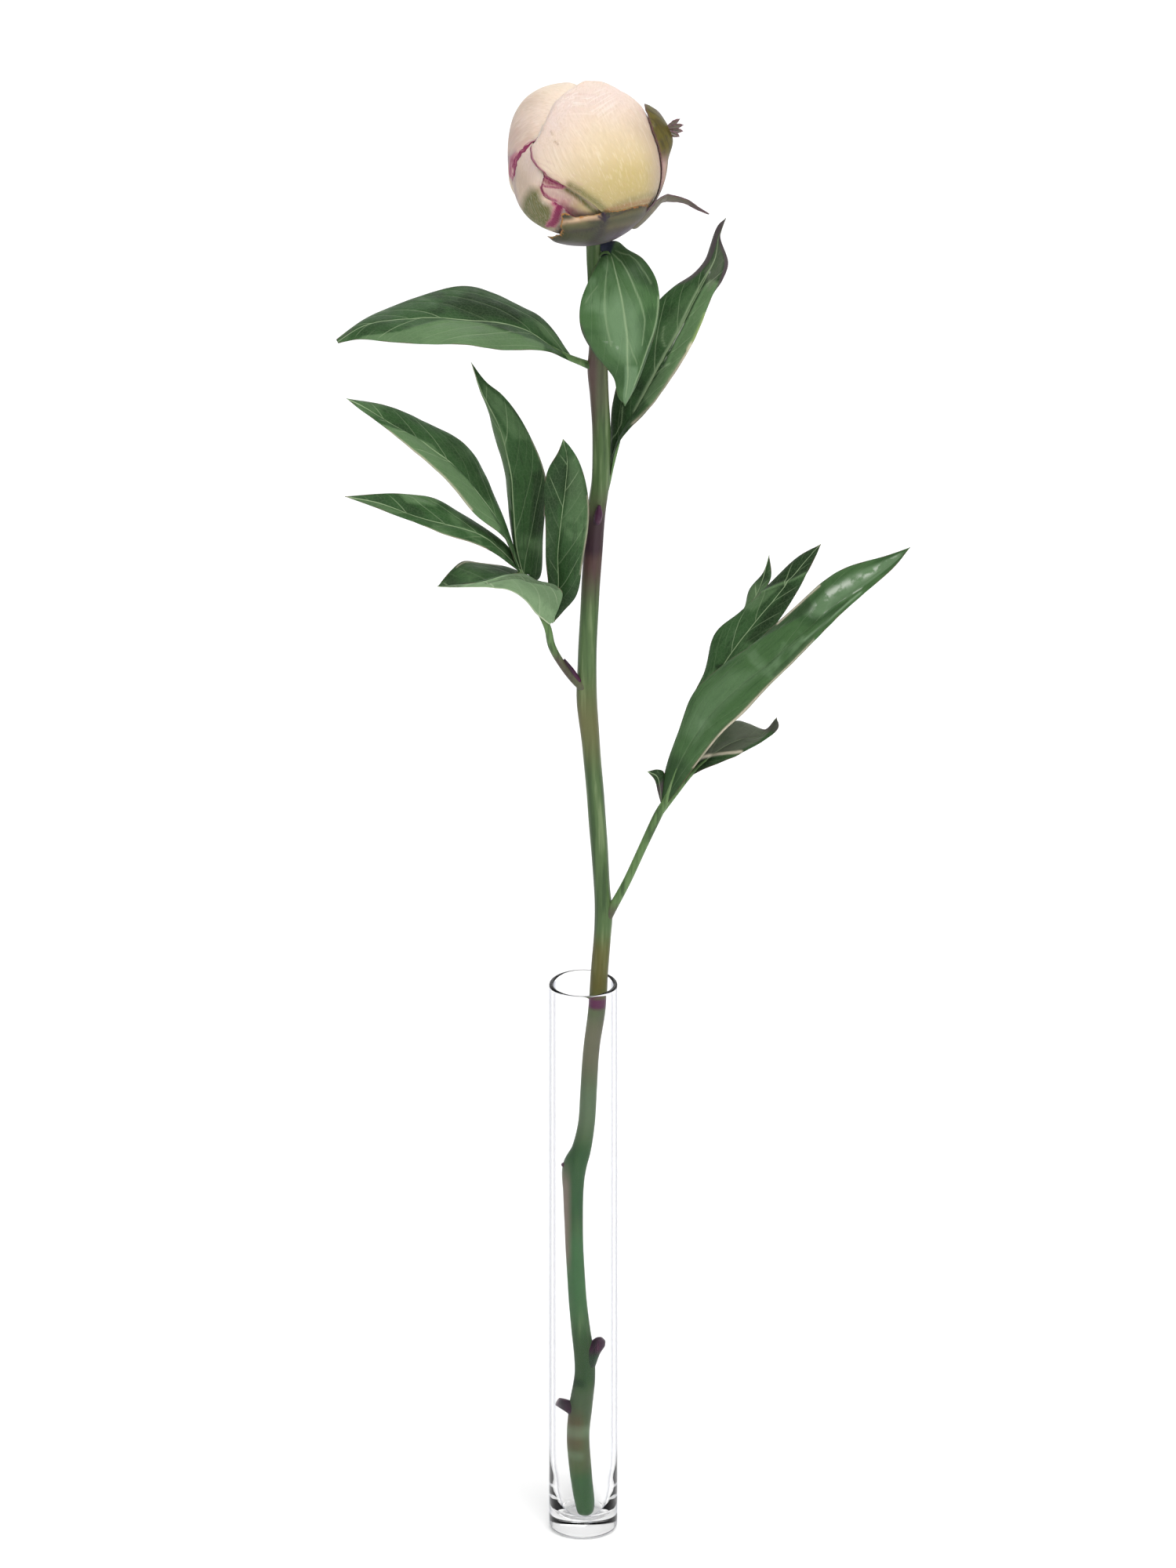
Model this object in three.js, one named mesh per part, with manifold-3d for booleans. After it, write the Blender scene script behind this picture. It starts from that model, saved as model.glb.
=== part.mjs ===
import * as THREE from 'three';
import Module from 'manifold-3d';

// A cut peony in bud, with its leaves, standing in a plain glass tube vase that holds no water.
// Millimetres, +Z up. The origin is the middle of the vase's foot, and the plant is looked at along +Y.

const wasm = await Module();
wasm.setup();

// The vase is a straight tube with a thick bottom and a fire-polished rim.
const VASE_RADIUS = 12.5;
const VASE_HEIGHT = 218;
const VASE_WALL = 1.6;
const VASE_FLOOR = 5;
const FOOT_RADIUS = 10.3;
const FOOT_ROUND = 2.2;
const VASE_SIDES = 40;

// Pieces that touch on the real plant keep this gap.
const GAP = 0.3;

// The bud is an egg, a little taller than wide. Its petals lie in layers inside that outline.
const BUD_CENTRE = new THREE.Vector3(0.9, 2, 546.2);
const BUD_RADIUS = 28.4;
const BUD_HALF_HEIGHT = 30.4;
const LAYER = 1.2;
const PETAL_THICKNESS = 0.6;
const HEART_LAYER = 4.1;

const LEAF_THICKNESS = 0.8;

// Points of the stem and leaves are written as they are seen from in front and above, under this angle:
// to the right of the vase's axis, up the view, and the true depth away from the viewer.
const LOOK_DOWN = THREE.MathUtils.degToRad(24.5);

function seen([right, up, depth]) {
  const height = (up - depth * Math.sin(LOOK_DOWN)) / Math.cos(LOOK_DOWN);
  return new THREE.Vector3(right, depth, height);
}

// A direction from the bud's centre: degrees round from the front towards the right, and degrees up.
function direction([round, up]) {
  const a = THREE.MathUtils.degToRad(round);
  const e = THREE.MathUtils.degToRad(up);
  return new THREE.Vector3(Math.sin(a) * Math.cos(e), -Math.cos(a) * Math.cos(e), Math.sin(e));
}

// The bud isn't quite even: it swells in three places, and is flatter in three others.
const SWELLINGS = [
  { towards: direction([-95, 45]), height: 4.5, spread: 0.55 },
  { towards: direction([-80, -35]), height: 2.3, spread: 0.5 },
  { towards: direction([98, 52]), height: 1.9, spread: 0.42 },
  { towards: direction([95, 20]), height: -1.5, spread: 0.6 },
  { towards: direction([62, -44]), height: -1, spread: 0.35 },
  { towards: direction([10, -65]), height: -1.3, spread: 0.7 },
];

function onBud(way, layer, lift) {
  let out = lift - layer * LAYER;
  for (const { towards, height, spread } of SWELLINGS) {
    out += height * Math.exp(-((way.angleTo(towards) / spread) ** 2));
  }
  return new THREE.Vector3(
    way.x * (BUD_RADIUS + out),
    way.y * (BUD_RADIUS + out),
    way.z * (BUD_HALF_HEIGHT + out),
  ).add(BUD_CENTRE);
}

function smoothLine(points) {
  return new THREE.CatmullRomCurve3(points, false, 'centripetal');
}

function geometryOf(points, triangles) {
  const geometry = new THREE.BufferGeometry();
  geometry.setAttribute('position', new THREE.Float32BufferAttribute(points.flatMap((p) => p.toArray()), 3));
  geometry.setIndex(triangles.flat());
  return geometry;
}

function solidOf(geometry) {
  const mesh = new wasm.Mesh({
    numProp: 3,
    vertProperties: new Float32Array(geometry.attributes.position.array),
    triVerts: new Uint32Array(geometry.index.array),
  });
  return new wasm.Manifold(mesh);
}

function geometryOfSolid(solid) {
  const { vertProperties, triVerts } = solid.getMesh();
  const geometry = new THREE.BufferGeometry();
  geometry.setAttribute('position', new THREE.BufferAttribute(new Float32Array(vertProperties), 3));
  geometry.setIndex(new THREE.BufferAttribute(new Uint32Array(triVerts), 1));
  return geometry;
}

function join(geometries) {
  return geometries.map(solidOf).reduce((whole, piece) => whole.add(piece));
}

// A thin sheet from a grid of points, given row by row from base to tip and from left to right as seen from
// its upper face. Both faces are split into the same triangles.
function sheet(grid, thickness) {
  const rows = grid.length;
  const columns = grid[0].length;
  const faces = [[], []];
  for (let i = 0; i < rows; i++) {
    for (let j = 0; j < columns; j++) {
      const along = grid[Math.min(i + 1, rows - 1)][j].clone().sub(grid[Math.max(i - 1, 0)][j]);
      const across = grid[i][Math.min(j + 1, columns - 1)].clone().sub(grid[i][Math.max(j - 1, 0)]);
      const normal = across.cross(along).normalize().multiplyScalar(thickness / 2);
      faces[0].push(grid[i][j].clone().add(normal));
      faces[1].push(grid[i][j].clone().sub(normal));
    }
  }
  const under = rows * columns;
  const triangles = [];
  for (let i = 0; i < rows - 1; i++) {
    for (let j = 0; j < columns - 1; j++) {
      const a = i * columns + j;
      const b = a + 1;
      const c = a + columns;
      const d = c + 1;
      triangles.push([a, b, d], [a, d, c]);
      triangles.push([under + a, under + d, under + b], [under + a, under + c, under + d]);
    }
  }
  const rim = [];
  for (let j = 0; j < columns - 1; j++) rim.push(j);
  for (let i = 0; i < rows - 1; i++) rim.push(i * columns + columns - 1);
  for (let j = columns - 1; j > 0; j--) rim.push((rows - 1) * columns + j);
  for (let i = rows - 1; i > 0; i--) rim.push(i * columns);
  rim.forEach((a, k) => {
    const b = rim[(k + 1) % rim.length];
    triangles.push([a, under + a, under + b], [a, under + b, b]);
  });
  return geometryOf([...faces[0], ...faces[1]], triangles);
}

// A tube of changing thickness. Each point gives its place as seen and then its radius.
const RINGS_PER_SPAN = 2;

function stalk(points, sides) {
  const line = smoothLine(points.map(seen));
  const steps = (points.length - 1) * RINGS_PER_SPAN;
  const rings = [];
  let side = new THREE.Vector3(1, 0, 0);
  for (let i = 0; i <= steps; i++) {
    const t = i / steps;
    const k = Math.min(Math.floor(i / RINGS_PER_SPAN), points.length - 2);
    const radius = THREE.MathUtils.lerp(points[k][3], points[k + 1][3], i / RINGS_PER_SPAN - k);
    const centre = line.getPoint(t);
    const ahead = line.getTangent(t);
    side = side.clone().addScaledVector(ahead, -side.dot(ahead)).normalize();
    const other = ahead.clone().cross(side);
    for (let j = 0; j < sides; j++) {
      const angle = (j / sides) * 2 * Math.PI;
      rings.push(
        centre.clone()
          .addScaledVector(side, radius * Math.cos(angle))
          .addScaledVector(other, radius * Math.sin(angle)),
      );
    }
  }
  const triangles = [];
  for (let i = 0; i < steps; i++) {
    for (let j = 0; j < sides; j++) {
      const a = i * sides + j;
      const b = i * sides + ((j + 1) % sides);
      triangles.push([a, b, b + sides], [a, b + sides, a + sides]);
    }
  }
  const first = rings.length;
  rings.push(line.getPoint(0), line.getPoint(1));
  for (let j = 0; j < sides; j++) {
    const k = (j + 1) % sides;
    triangles.push([first, k, j], [first + 1, steps * sides + j, steps * sides + k]);
  }
  return geometryOf(rings, triangles);
}

// A leaf blade, drawn by its left edge, its rib and its right edge, each from base to tip. Each half of the
// blade is arched by a share of its width, and its edge is waved. At the base and tip the three lines meet,
// and the blade keeps a smallest half width there.
const EDGE_MINIMUM = 0.45;
const BLADE_END = 0.12;
const ARCH = 0.08;
const WAVES = 2.5;

function blade({ left, rib, right, rows = 14, wave = 0.5 }) {
  const [leftLine, ribLine, rightLine] = [left, rib, right].map((points) => smoothLine(points.map(seen)));
  const grid = [];
  for (let i = 0; i <= rows; i++) {
    const t = i / rows;
    const middle = ribLine.getPointAt(t);
    const ahead = ribLine.getTangentAt(t);
    const half = (line, sign, s) => {
      const across = line.getPointAt(t).sub(middle);
      if (i === 0 || i === rows) across.addScaledVector(ahead, -across.dot(ahead));
      if (across.length() < EDGE_MINIMUM) {
        const inside = THREE.MathUtils.clamp(t, BLADE_END, 1 - BLADE_END);
        across.copy(line.getPointAt(inside)).sub(ribLine.getPointAt(inside));
        across.addScaledVector(ahead, -across.dot(ahead)).setLength(EDGE_MINIMUM);
      }
      const normal = sign > 0 ? across.clone().cross(ahead) : ahead.clone().cross(across);
      normal.normalize();
      const ripple = wave * s * s * Math.sin(2 * Math.PI * WAVES * t + sign) * Math.sin(Math.PI * t);
      const rise = ARCH * Math.sin(Math.PI * s) * across.length() + ripple;
      return middle.clone().addScaledVector(across, s).addScaledVector(normal, rise);
    };
    grid.push([
      half(leftLine, -1, 1),
      half(leftLine, -1, 0.5),
      middle,
      half(rightLine, 1, 0.5),
      half(rightLine, 1, 1),
    ]);
  }
  return sheet(grid, LEAF_THICKNESS);
}

// A petal or sepal on the bud, drawn by its left edge, its middle and its right edge. Each point is a
// direction from the bud's centre, and it may have a third number, how far it stands off the bud.
function petal({ left, middle, right, layer, rows, halfColumns }) {
  const lines = [left, middle, right].map((points) => ({
    ways: smoothLine(points.map(direction)),
    lifts: smoothLine(points.map(([, , lift = 0], i) => new THREE.Vector3(i, lift, 0))),
  }));
  const at = ({ ways, lifts }, t) => ({ way: ways.getPoint(t).normalize(), lift: lifts.getPoint(t).y });
  const grid = [];
  for (let i = 0; i <= rows; i++) {
    const t = i / rows;
    const [edgeLeft, centre, edgeRight] = lines.map((line) => at(line, t));
    const row = [];
    for (let j = -halfColumns; j <= halfColumns; j++) {
      const s = Math.abs(j) / halfColumns;
      const edge = j < 0 ? edgeLeft : edgeRight;
      const way = turned(centre.way, edge.way, s);
      const lift = THREE.MathUtils.lerp(centre.lift, edge.lift, s * s);
      row.push(onBud(way, layer, lift));
    }
    grid.push(row);
  }
  return sheet(grid, PETAL_THICKNESS);
}

// The direction a share of the way from one direction to another along their common circle. A petal keeps a
// smallest half width, as an angle, where its lines meet.
const SMALLEST_ANGLE = 0.02;
const SAME = 1e-6;

function turned(from, to, share) {
  const angle = Math.max(from.angleTo(to), SMALLEST_ANGLE);
  const side = to.clone().addScaledVector(from, -from.dot(to));
  if (side.length() < SAME) side.set(from.y, -from.x, 0);
  side.normalize();
  return from.clone().multiplyScalar(Math.cos(angle * share)).addScaledVector(side, Math.sin(angle * share));
}

// The inside of the vase's rounded bottom, as radius and height, from the straight wall to the middle.
const BOWL = [
  [VASE_RADIUS - VASE_WALL, 30], [10.3, 22], [9.7, 14], [8.7, 9], [7.2, 6.3], [4.5, 5.2], [0, VASE_FLOOR],
];
const FOOT_STEPS = 4;
const RIM_STEPS = 6;

function vase() {
  const profile = [[0, 0], [FOOT_RADIUS, 0]];
  for (let k = 1; k <= FOOT_STEPS; k++) {
    const a = (k / FOOT_STEPS) * (Math.PI / 2);
    const reach = VASE_RADIUS - FOOT_RADIUS;
    profile.push([FOOT_RADIUS + reach * Math.sin(a), FOOT_ROUND * (1 - Math.cos(a))]);
  }
  const rim = VASE_WALL / 2;
  for (let k = 0; k <= RIM_STEPS; k++) {
    const a = (k / RIM_STEPS) * Math.PI;
    profile.push([VASE_RADIUS - rim + rim * Math.cos(a), VASE_HEIGHT - rim + rim * Math.sin(a)]);
  }
  profile.push(...BOWL);
  const points = [];
  const ringOf = profile.map(([r, z]) => {
    const first = points.length;
    const count = r === 0 ? 1 : VASE_SIDES;
    for (let j = 0; j < count; j++) {
      const a = (j / VASE_SIDES) * 2 * Math.PI;
      points.push(new THREE.Vector3(r * Math.cos(a), r * Math.sin(a), z));
    }
    return { first, count };
  });
  const triangles = [];
  for (let k = 0; k < profile.length - 1; k++) {
    const [low, high] = [ringOf[k], ringOf[k + 1]];
    for (let j = 0; j < VASE_SIDES; j++) {
      const a = low.first + (j % low.count);
      const b = low.first + ((j + 1) % low.count);
      const c = high.first + (j % high.count);
      const d = high.first + ((j + 1) % high.count);
      if (a !== b) triangles.push([a, b, d]);
      if (c !== d) triangles.push([a, d, c]);
    }
  }
  return geometryOf(points, triangles);
}

const STEM = [
  [0.7, 3.6, -4, 1.6], [0.7, 4.6, -4, 2.8], [0.5, 8.5, -3.9, 3.5], [-1, 20, -3.5, 3.9], [-1.9, 33, -3, 4.1],
  [-0.9, 45, -2.6, 4.2], [0.6, 57, -2, 3.7], [-1.1, 73.5, -1.5, 3.4], [-2.3, 86.3, -1, 3.3],
  [-3.4, 107.8, -0.2, 3.3], [-3.6, 122, 0.4, 3.7], [-3.2, 131.6, 0.7, 4.4], [-0.7, 138, 1, 3.6],
  [1.2, 147, 1.5, 3.1], [2, 159.4, 2, 3], [3.2, 176, 2.8, 3], [5.2, 189.4, 3.4, 3.3], [5.9, 202.3, 3.9, 3.15],
  [7, 215.2, 4.6, 3.1], [7.4, 224, 5, 3.3], [6.9, 232.4, 5.2, 3], [5.7, 249.6, 5.6, 3.1],
  [4.4, 266.8, 5.9, 3.15], [2.9, 283.9, 6.2, 3.3], [1.3, 301.1, 6.4, 3.7], [1.3, 314, 6.5, 3.45],
  [2, 331.2, 6.6, 3.4], [3, 348.4, 6.6, 3.4], [4.6, 369.8, 6.4, 3.45], [6.3, 382.7, 6.2, 3.3],
  [6.6, 399.9, 5.8, 3.3], [5.9, 412.8, 5.3, 3.4], [5.2, 422.8, 5, 3.75], [5.5, 431, 4.6, 3.4],
  [5, 443, 4, 3.1], [4.4, 455.8, 3.2, 2.8], [3.9, 463, 2.5, 2.75], [3.8, 466.3, 2.1, 2.75],
  [3.8, 469.7, 2, 2.8],
];

// Two cut side shoots, a leaf scar, and the small bud in a leaf's corner.
const STEM_STUBS = [
  [[-1.5, 41.5, -2.6, 2.9], [-4.6, 43.6, -3.2, 2.4], [-7.6, 45.1, -3.8, 1.9], [-8.9, 45.7, -4.1, 1.5]],
  [[1.5, 60, -1.8, 3.2], [3.6, 64.5, -2.2, 2.8], [6, 67.4, -2.6, 2.3], [7, 68.4, -2.7, 1.3]],
  [[-3.2, 130, 0.7, 3], [-6.5, 132, 0, 1.4], [-7.9, 132.4, -0.3, 0.5]],
  [[4.6, 366, 5, 1.6], [5.6, 369.6, 2.3, 1.5], [5.8, 372.6, 1.8, 0.6]],
];

const STEM_SIDES = 10;
const SHOOT_SIDES = 6;

// The stem, thickened by a spare width. The leaves are cut clear of a stem that is thicker by the gap.
function stem(spare) {
  const thicken = (points) => points.map(([x, y, z, radius]) => [x, y, z, radius + spare]);
  const shoots = STEM_STUBS.map((points) => stalk(thicken(points), SHOOT_SIDES));
  return join([stalk(thicken(STEM), STEM_SIDES), ...shoots]);
}

const LEAVES = {
  leaf_top_left: {
    stalks: [[[4, 423.4, 4.6, 1.7], [-0.8, 425.2, 4, 1.3], [-6, 427.3, 4, 1.1], [-14, 431.8, 4.2, 0.6]]],
    blades: [
      {
        left: [
          [-6.3, 426.3, 3], [-12.6, 428.8, -3], [-26.9, 429.8, -12], [-41.2, 431, -17], [-55.6, 431.6, -18],
          [-69.9, 432.6, -16], [-82.2, 433.4, -13], [-89.6, 432, -11],
        ],
        rib: [
          [-5, 427, 4], [-12, 431, 4.2], [-19.8, 436.3, 4], [-30.6, 439.4, 2], [-41.2, 440.5, 0],
          [-58.4, 441.2, -3], [-78.5, 439, -8], [-89.8, 432.6, -11],
        ],
        right: [
          [-5, 428, 5], [-11.2, 437.2, 11], [-16, 442.2, 14.3], [-21.2, 445.2, 17], [-32.6, 450.3, 19],
          [-44.1, 452.6, 19], [-61.3, 449.3, 14], [-72.7, 444.2, 7], [-84.2, 438, -4], [-90.5, 433.3, -10.6],
        ],
        rows: 18,
      },
    ],
  },
  leaf_top_front: {
    stalks: [[[4.4, 461, 2.6, 1.5], [6.4, 464, 1.6, 1.2], [9, 465, -0.6, 0.9], [11, 461, -4.5, 0.6]]],
    blades: [
      {
        left: [
          [6.4, 468.2, -0.6], [9.2, 469.4, 1.2], [12.6, 469.2, 2.2], [16, 466.4, 0], [21.8, 462.9, -4],
          [26.9, 454.9, -8], [27.5, 442.9, -12], [24.1, 428.6, -15], [19.5, 417.1, -16], [15.2, 409.1, -17],
        ],
        rib: [
          [7.4, 465, 1.4], [10, 464.5, -2], [12, 457.2, -9], [14, 448.6, -14], [15.5, 440, -17],
          [16.9, 428.6, -18.5], [17.2, 420, -18.5], [16, 411.4, -17.5], [15.2, 409.1, -17],
        ],
        right: [
          [6.6, 463.6, 0], [5.6, 462, -3.5], [3.2, 457.6, -9], [-0.9, 447.2, -14], [-0.9, 437.7, -17],
          [4, 428, -18], [11.2, 419.4, -17], [12.6, 412.8, -16.5], [15.2, 409.1, -17],
        ],
        rows: 16,
      },
    ],
  },
  leaf_top_right: {
    stalks: [[[6.6, 375, 6.4, 1.7], [8.4, 380.5, 7, 1.4], [10.2, 387, 7.6, 1], [13, 396.5, 9, 0.6]]],
    blades: [
      {
        left: [
          [9.3, 384.2, 8], [10, 397.1, 12], [10.6, 409.1, 15], [13.2, 420, 18], [19.5, 434.3, 20],
          [27.5, 447.4, 20], [33.2, 453, 20], [39.4, 457.2, 20], [44.3, 462.6, 19], [49.4, 475.4, 18],
          [52.1, 477.8, 18],
        ],
        rib: [
          [9.6, 384, 7], [13.2, 397.1, 9], [18.9, 407.1, 10], [24.6, 418, 11], [30.4, 428.6, 11],
          [36.1, 438.6, 11], [39.9, 446.3, 12], [44.7, 455.8, 13], [48.1, 462.9, 14], [49.8, 471.5, 16],
          [52.1, 477.8, 18],
        ],
        right: [
          [9.8, 383.4, 6], [12.3, 394.2, 4], [16, 399.9, 3], [21.8, 406.2, 3], [33.2, 420, 4],
          [41.8, 436.6, 5], [47.5, 450, 8], [51, 455.2, 10], [53, 461.5, 12], [50, 471.5, 15],
          [52.1, 477.8, 18],
        ],
        rows: 18,
      },
    ],
  },
  leaf_left: {
    stalks: [
      [
        [1, 306, 5.4, 2.1], [-2.3, 308.3, 4, 1.6], [-7.6, 314.6, 1.4, 1.4], [-11.5, 321.5, -1, 1.4],
        [-13.2, 328.6, -2.4, 1.3], [-18, 338, -1, 1.1], [-23.5, 349, 0, 0.9],
      ],
      [[-1.8, 308.6, 3.9, 1.2], [-4.3, 312.6, 2.6, 1], [-6.9, 316.6, 1.2, 0.35]],
    ],
    blades: [
      {
        left: [
          [-11, 331, -5], [-8.9, 335.5, -8], [-7.7, 341.3, -12], [-10.5, 344.4, -14], [-16.9, 345.8, -15],
          [-21.2, 347.5, -15], [-29.8, 346.9, -14], [-41.2, 344.6, -12], [-53.3, 343.2, -10],
        ],
        rib: [
          [-12.4, 329.5, -3.6], [-16.9, 333.5, -5], [-21.2, 338.7, -6], [-26.9, 342.1, -7],
          [-35.5, 343.5, -8], [-47, 343.2, -9], [-53.3, 343.2, -10],
        ],
        right: [
          [-12.6, 331, -1], [-14, 340, 4], [-20, 347, 7], [-28.4, 350.1, 7], [-36.9, 352.1, 5],
          [-43.5, 352.5, 2], [-48.4, 348.9, -4], [-53.3, 343.2, -10],
        ],
      },
      {
        left: [
          [-23.3, 348.7, -1], [-32.6, 355.2, -8], [-41.2, 359.5, -13], [-52.7, 362.7, -18],
          [-64.1, 367.6, -20], [-78.5, 373, -21], [-87.1, 376.1, -22],
        ],
        rib: [
          [-22.9, 348.9, 0], [-29.8, 356, -3], [-36.9, 361.5, -7], [-47, 365.3, -11], [-61.3, 368.8, -16],
          [-75, 373.8, -20], [-87.1, 376.1, -22],
        ],
        right: [
          [-23.2, 349.6, 1], [-26.9, 357, 1], [-35.5, 364.7, 0], [-47, 371, -3], [-55.6, 375.9, -6],
          [-65.6, 377.1, -12], [-75.6, 377, -18], [-87.1, 376.1, -22],
        ],
      },
      {
        left: [
          [-24.1, 349.8, -1], [-28.4, 359.8, -6], [-38.4, 369, -10], [-47, 378.7, -13], [-58.4, 389.3, -13],
          [-69.9, 399.6, -11], [-81.3, 407.6, -9], [-86.5, 411.9, -8],
        ],
        rib: [
          [-23.5, 349.8, 0], [-27.5, 359.2, 0], [-31.2, 367, 0], [-38.9, 377.9, 0], [-49.8, 389.3, -2],
          [-59.9, 396.5, -4], [-69.9, 402.5, -6], [-81.3, 409.3, -8], [-86.5, 411.9, -8],
        ],
        right: [
          [-22.9, 349.8, 1], [-25.8, 359, 4], [-29.8, 370.7, 7], [-35.5, 383.6, 9], [-41.2, 392.5, 9],
          [-47, 397.9, 8], [-58.4, 403.9, 5], [-72.7, 409.4, -1], [-86.5, 411.9, -8],
        ],
        rows: 16,
      },
      {
        left: [
          [-22.6, 347.2, 1], [-24.6, 355.5, 5], [-26.6, 367, 9], [-29.8, 389.9, 13], [-33.2, 401.3, 14],
          [-37.8, 415.7, 13], [-41, 425.1, 12],
        ],
        rib: [
          [-21.8, 346.9, 0], [-24.3, 357, 1], [-25.5, 371.3, 4], [-26.8, 385.6, 7], [-30.6, 401.3, 10],
          [-37.2, 414.2, 11], [-41, 425.1, 12],
        ],
        right: [
          [-20.6, 346, 0.5], [-16.3, 346, 4], [-14.6, 359.8, 8], [-13.7, 374.1, 12], [-14, 382.7, 13],
          [-16.9, 392.8, 14], [-22.6, 404.2, 14], [-29.8, 413.4, 13], [-35.5, 418, 12.5], [-41, 425.1, 12],
        ],
        rows: 16,
      },
      {
        left: [
          [-12.4, 330.4, -3], [-12.9, 344.1, -7], [-14, 365.5, -11], [-14, 381, -12], [-12.6, 386.5, -11],
          [-9.2, 392.5, -11], [-7.4, 397.1, -11],
        ],
        rib: [
          [-11.8, 330, -3], [-9.2, 342.6, -4], [-9.3, 355, -6], [-8.3, 365.5, -8], [-6.5, 380, -9],
          [-5.9, 390, -10], [-7.4, 397.1, -11],
        ],
        right: [
          [-11.2, 329.6, -3], [-7.4, 334, -4], [-2.6, 339.8, -6], [-0.3, 351.2, -8], [2, 368, -10],
          [1.2, 380, -11], [-1.5, 389, -11], [-5, 394.5, -11], [-7.4, 397.1, -11],
        ],
      },
    ],
  },
  leaf_right: {
    stalks: [
      [
        [7.2, 220, 4.8, 2.2], [10.6, 225.8, 3.5, 1.7], [15.8, 235.3, 2, 1.5], [21.8, 248.2, 0.5, 1.5],
        [27.2, 259.6, -0.5, 1.6], [30.6, 266, -1, 1.2], [34.5, 277, -2.6, 0.6],
      ],
      [[27.2, 259.6, -0.2, 1.3], [33.2, 267.4, 1, 1.2], [39, 274.4, 2, 0.9], [45, 280, 3, 0.5]],
      [[29, 263, -0.2, 1.2], [33, 274, 4.5, 1], [38, 286, 8, 0.9], [44, 302, 10.2, 0.5]],
    ],
    blades: [
      {
        left: [
          [28.6, 265, -0.4], [29.8, 275.3, 1], [34.7, 289.7, 1], [40.4, 304.8, 1], [50.4, 314.6, 1],
          [61.9, 322, -1], [73.3, 332, -3], [87.6, 345.2, -7], [95.6, 350.1, -9], [110.5, 354.4, -15],
          [119.4, 357.5, -18],
        ],
        rib: [
          [30, 264.5, -1], [34.5, 277, -3], [43, 292, -6], [53, 303, -9], [66, 314, -11], [80, 326, -13],
          [95, 339, -15], [108, 348.5, -17], [119.4, 357.5, -18],
        ],
        right: [
          [30.9, 264.5, -1.8], [34.6, 269, -4], [42.6, 279.9, -8.5], [50.4, 289.7, -13], [59, 297.4, -16],
          [76.2, 315.4, -19], [90.5, 329.8, -20], [101.9, 339.8, -20], [113.4, 350.1, -19],
          [119.4, 357.5, -18],
        ],
        rows: 22,
      },
      {
        left: [
          [37.4, 285.4, 8.4], [38.9, 299.7, 12], [43.8, 311.1, 15], [48.1, 326, 19], [57.6, 334, 22],
          [69, 345.5, 24], [79, 354.4, 26], [86.8, 358.7, 26],
        ],
        rib: [
          [38, 285, 7.8], [44, 302, 10], [52, 316, 12], [61, 328, 15], [71, 340, 18], [80, 351, 22],
          [86.8, 358.7, 26],
        ],
        right: [
          [38.8, 284.6, 7.2], [47, 300, 6], [56.1, 314, 7], [64.7, 322.6, 9], [70.4, 329.8, 11],
          [79, 342.6, 16], [84.8, 354.1, 22], [86.8, 358.7, 26],
        ],
        rows: 16,
      },
      {
        left: [
          [39.4, 289, 9.4], [43, 306, 19], [51.8, 328.3, 25], [57.6, 333.5, 29], [60.4, 342.1, 32],
          [65.9, 348.4, 34], [67.9, 354.7, 36],
        ],
        rib: [
          [39.6, 288.4, 9], [46, 306, 18], [54.5, 328, 24], [60.5, 336, 27], [65, 344, 31],
          [67.9, 354.7, 36],
        ],
        right: [
          [40, 288, 8.6], [49, 306, 17], [58, 328.3, 23], [66.2, 341.2, 26], [68.7, 347, 31],
          [67.9, 354.7, 36],
        ],
        rows: 12,
      },
      {
        left: [
          [37.4, 275.6, 2.2], [44.8, 285.4, 7], [49.4, 290, 10], [55.6, 294, 13], [60.4, 293.4, 14],
          [67, 291.1, 14], [70.7, 295.4, 14],
        ],
        rib: [
          [38.6, 274.2, 2], [45, 280, 3], [52, 285, 6], [58, 287.5, 8], [65, 288.9, 11], [70.7, 295.4, 14],
        ],
        right: [
          [39, 273.8, 2], [44.7, 276.8, 1], [51.8, 279.6, 2], [56.1, 281.1, 3], [61.9, 284.8, 5],
          [69.4, 289.2, 10], [71.4, 292, 12], [70.7, 295.4, 14],
        ],
        rows: 12,
      },
      {
        left: [[28.2, 264.7, -1], [27.2, 268.2, -1], [26, 272.6, -1], [23.4, 275.6, -1]],
        rib: [[28.4, 264.6, -0.6], [28, 270, -0.4], [26.8, 274, -0.5], [23.4, 275.6, -1]],
        right: [[29, 264.5, 0], [29.4, 271, 0.5], [29.4, 275.5, 1], [27, 276.4, 0], [23.4, 275.6, -1]],
        rows: 8,
        wave: 0,
      },
    ],
  },
};

function leaf({ stalks, blades }, cleared) {
  const pieces = [...stalks.map((points) => stalk(points, SHOOT_SIDES)), ...blades.map(blade)];
  return join(pieces).subtract(cleared);
}

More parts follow.
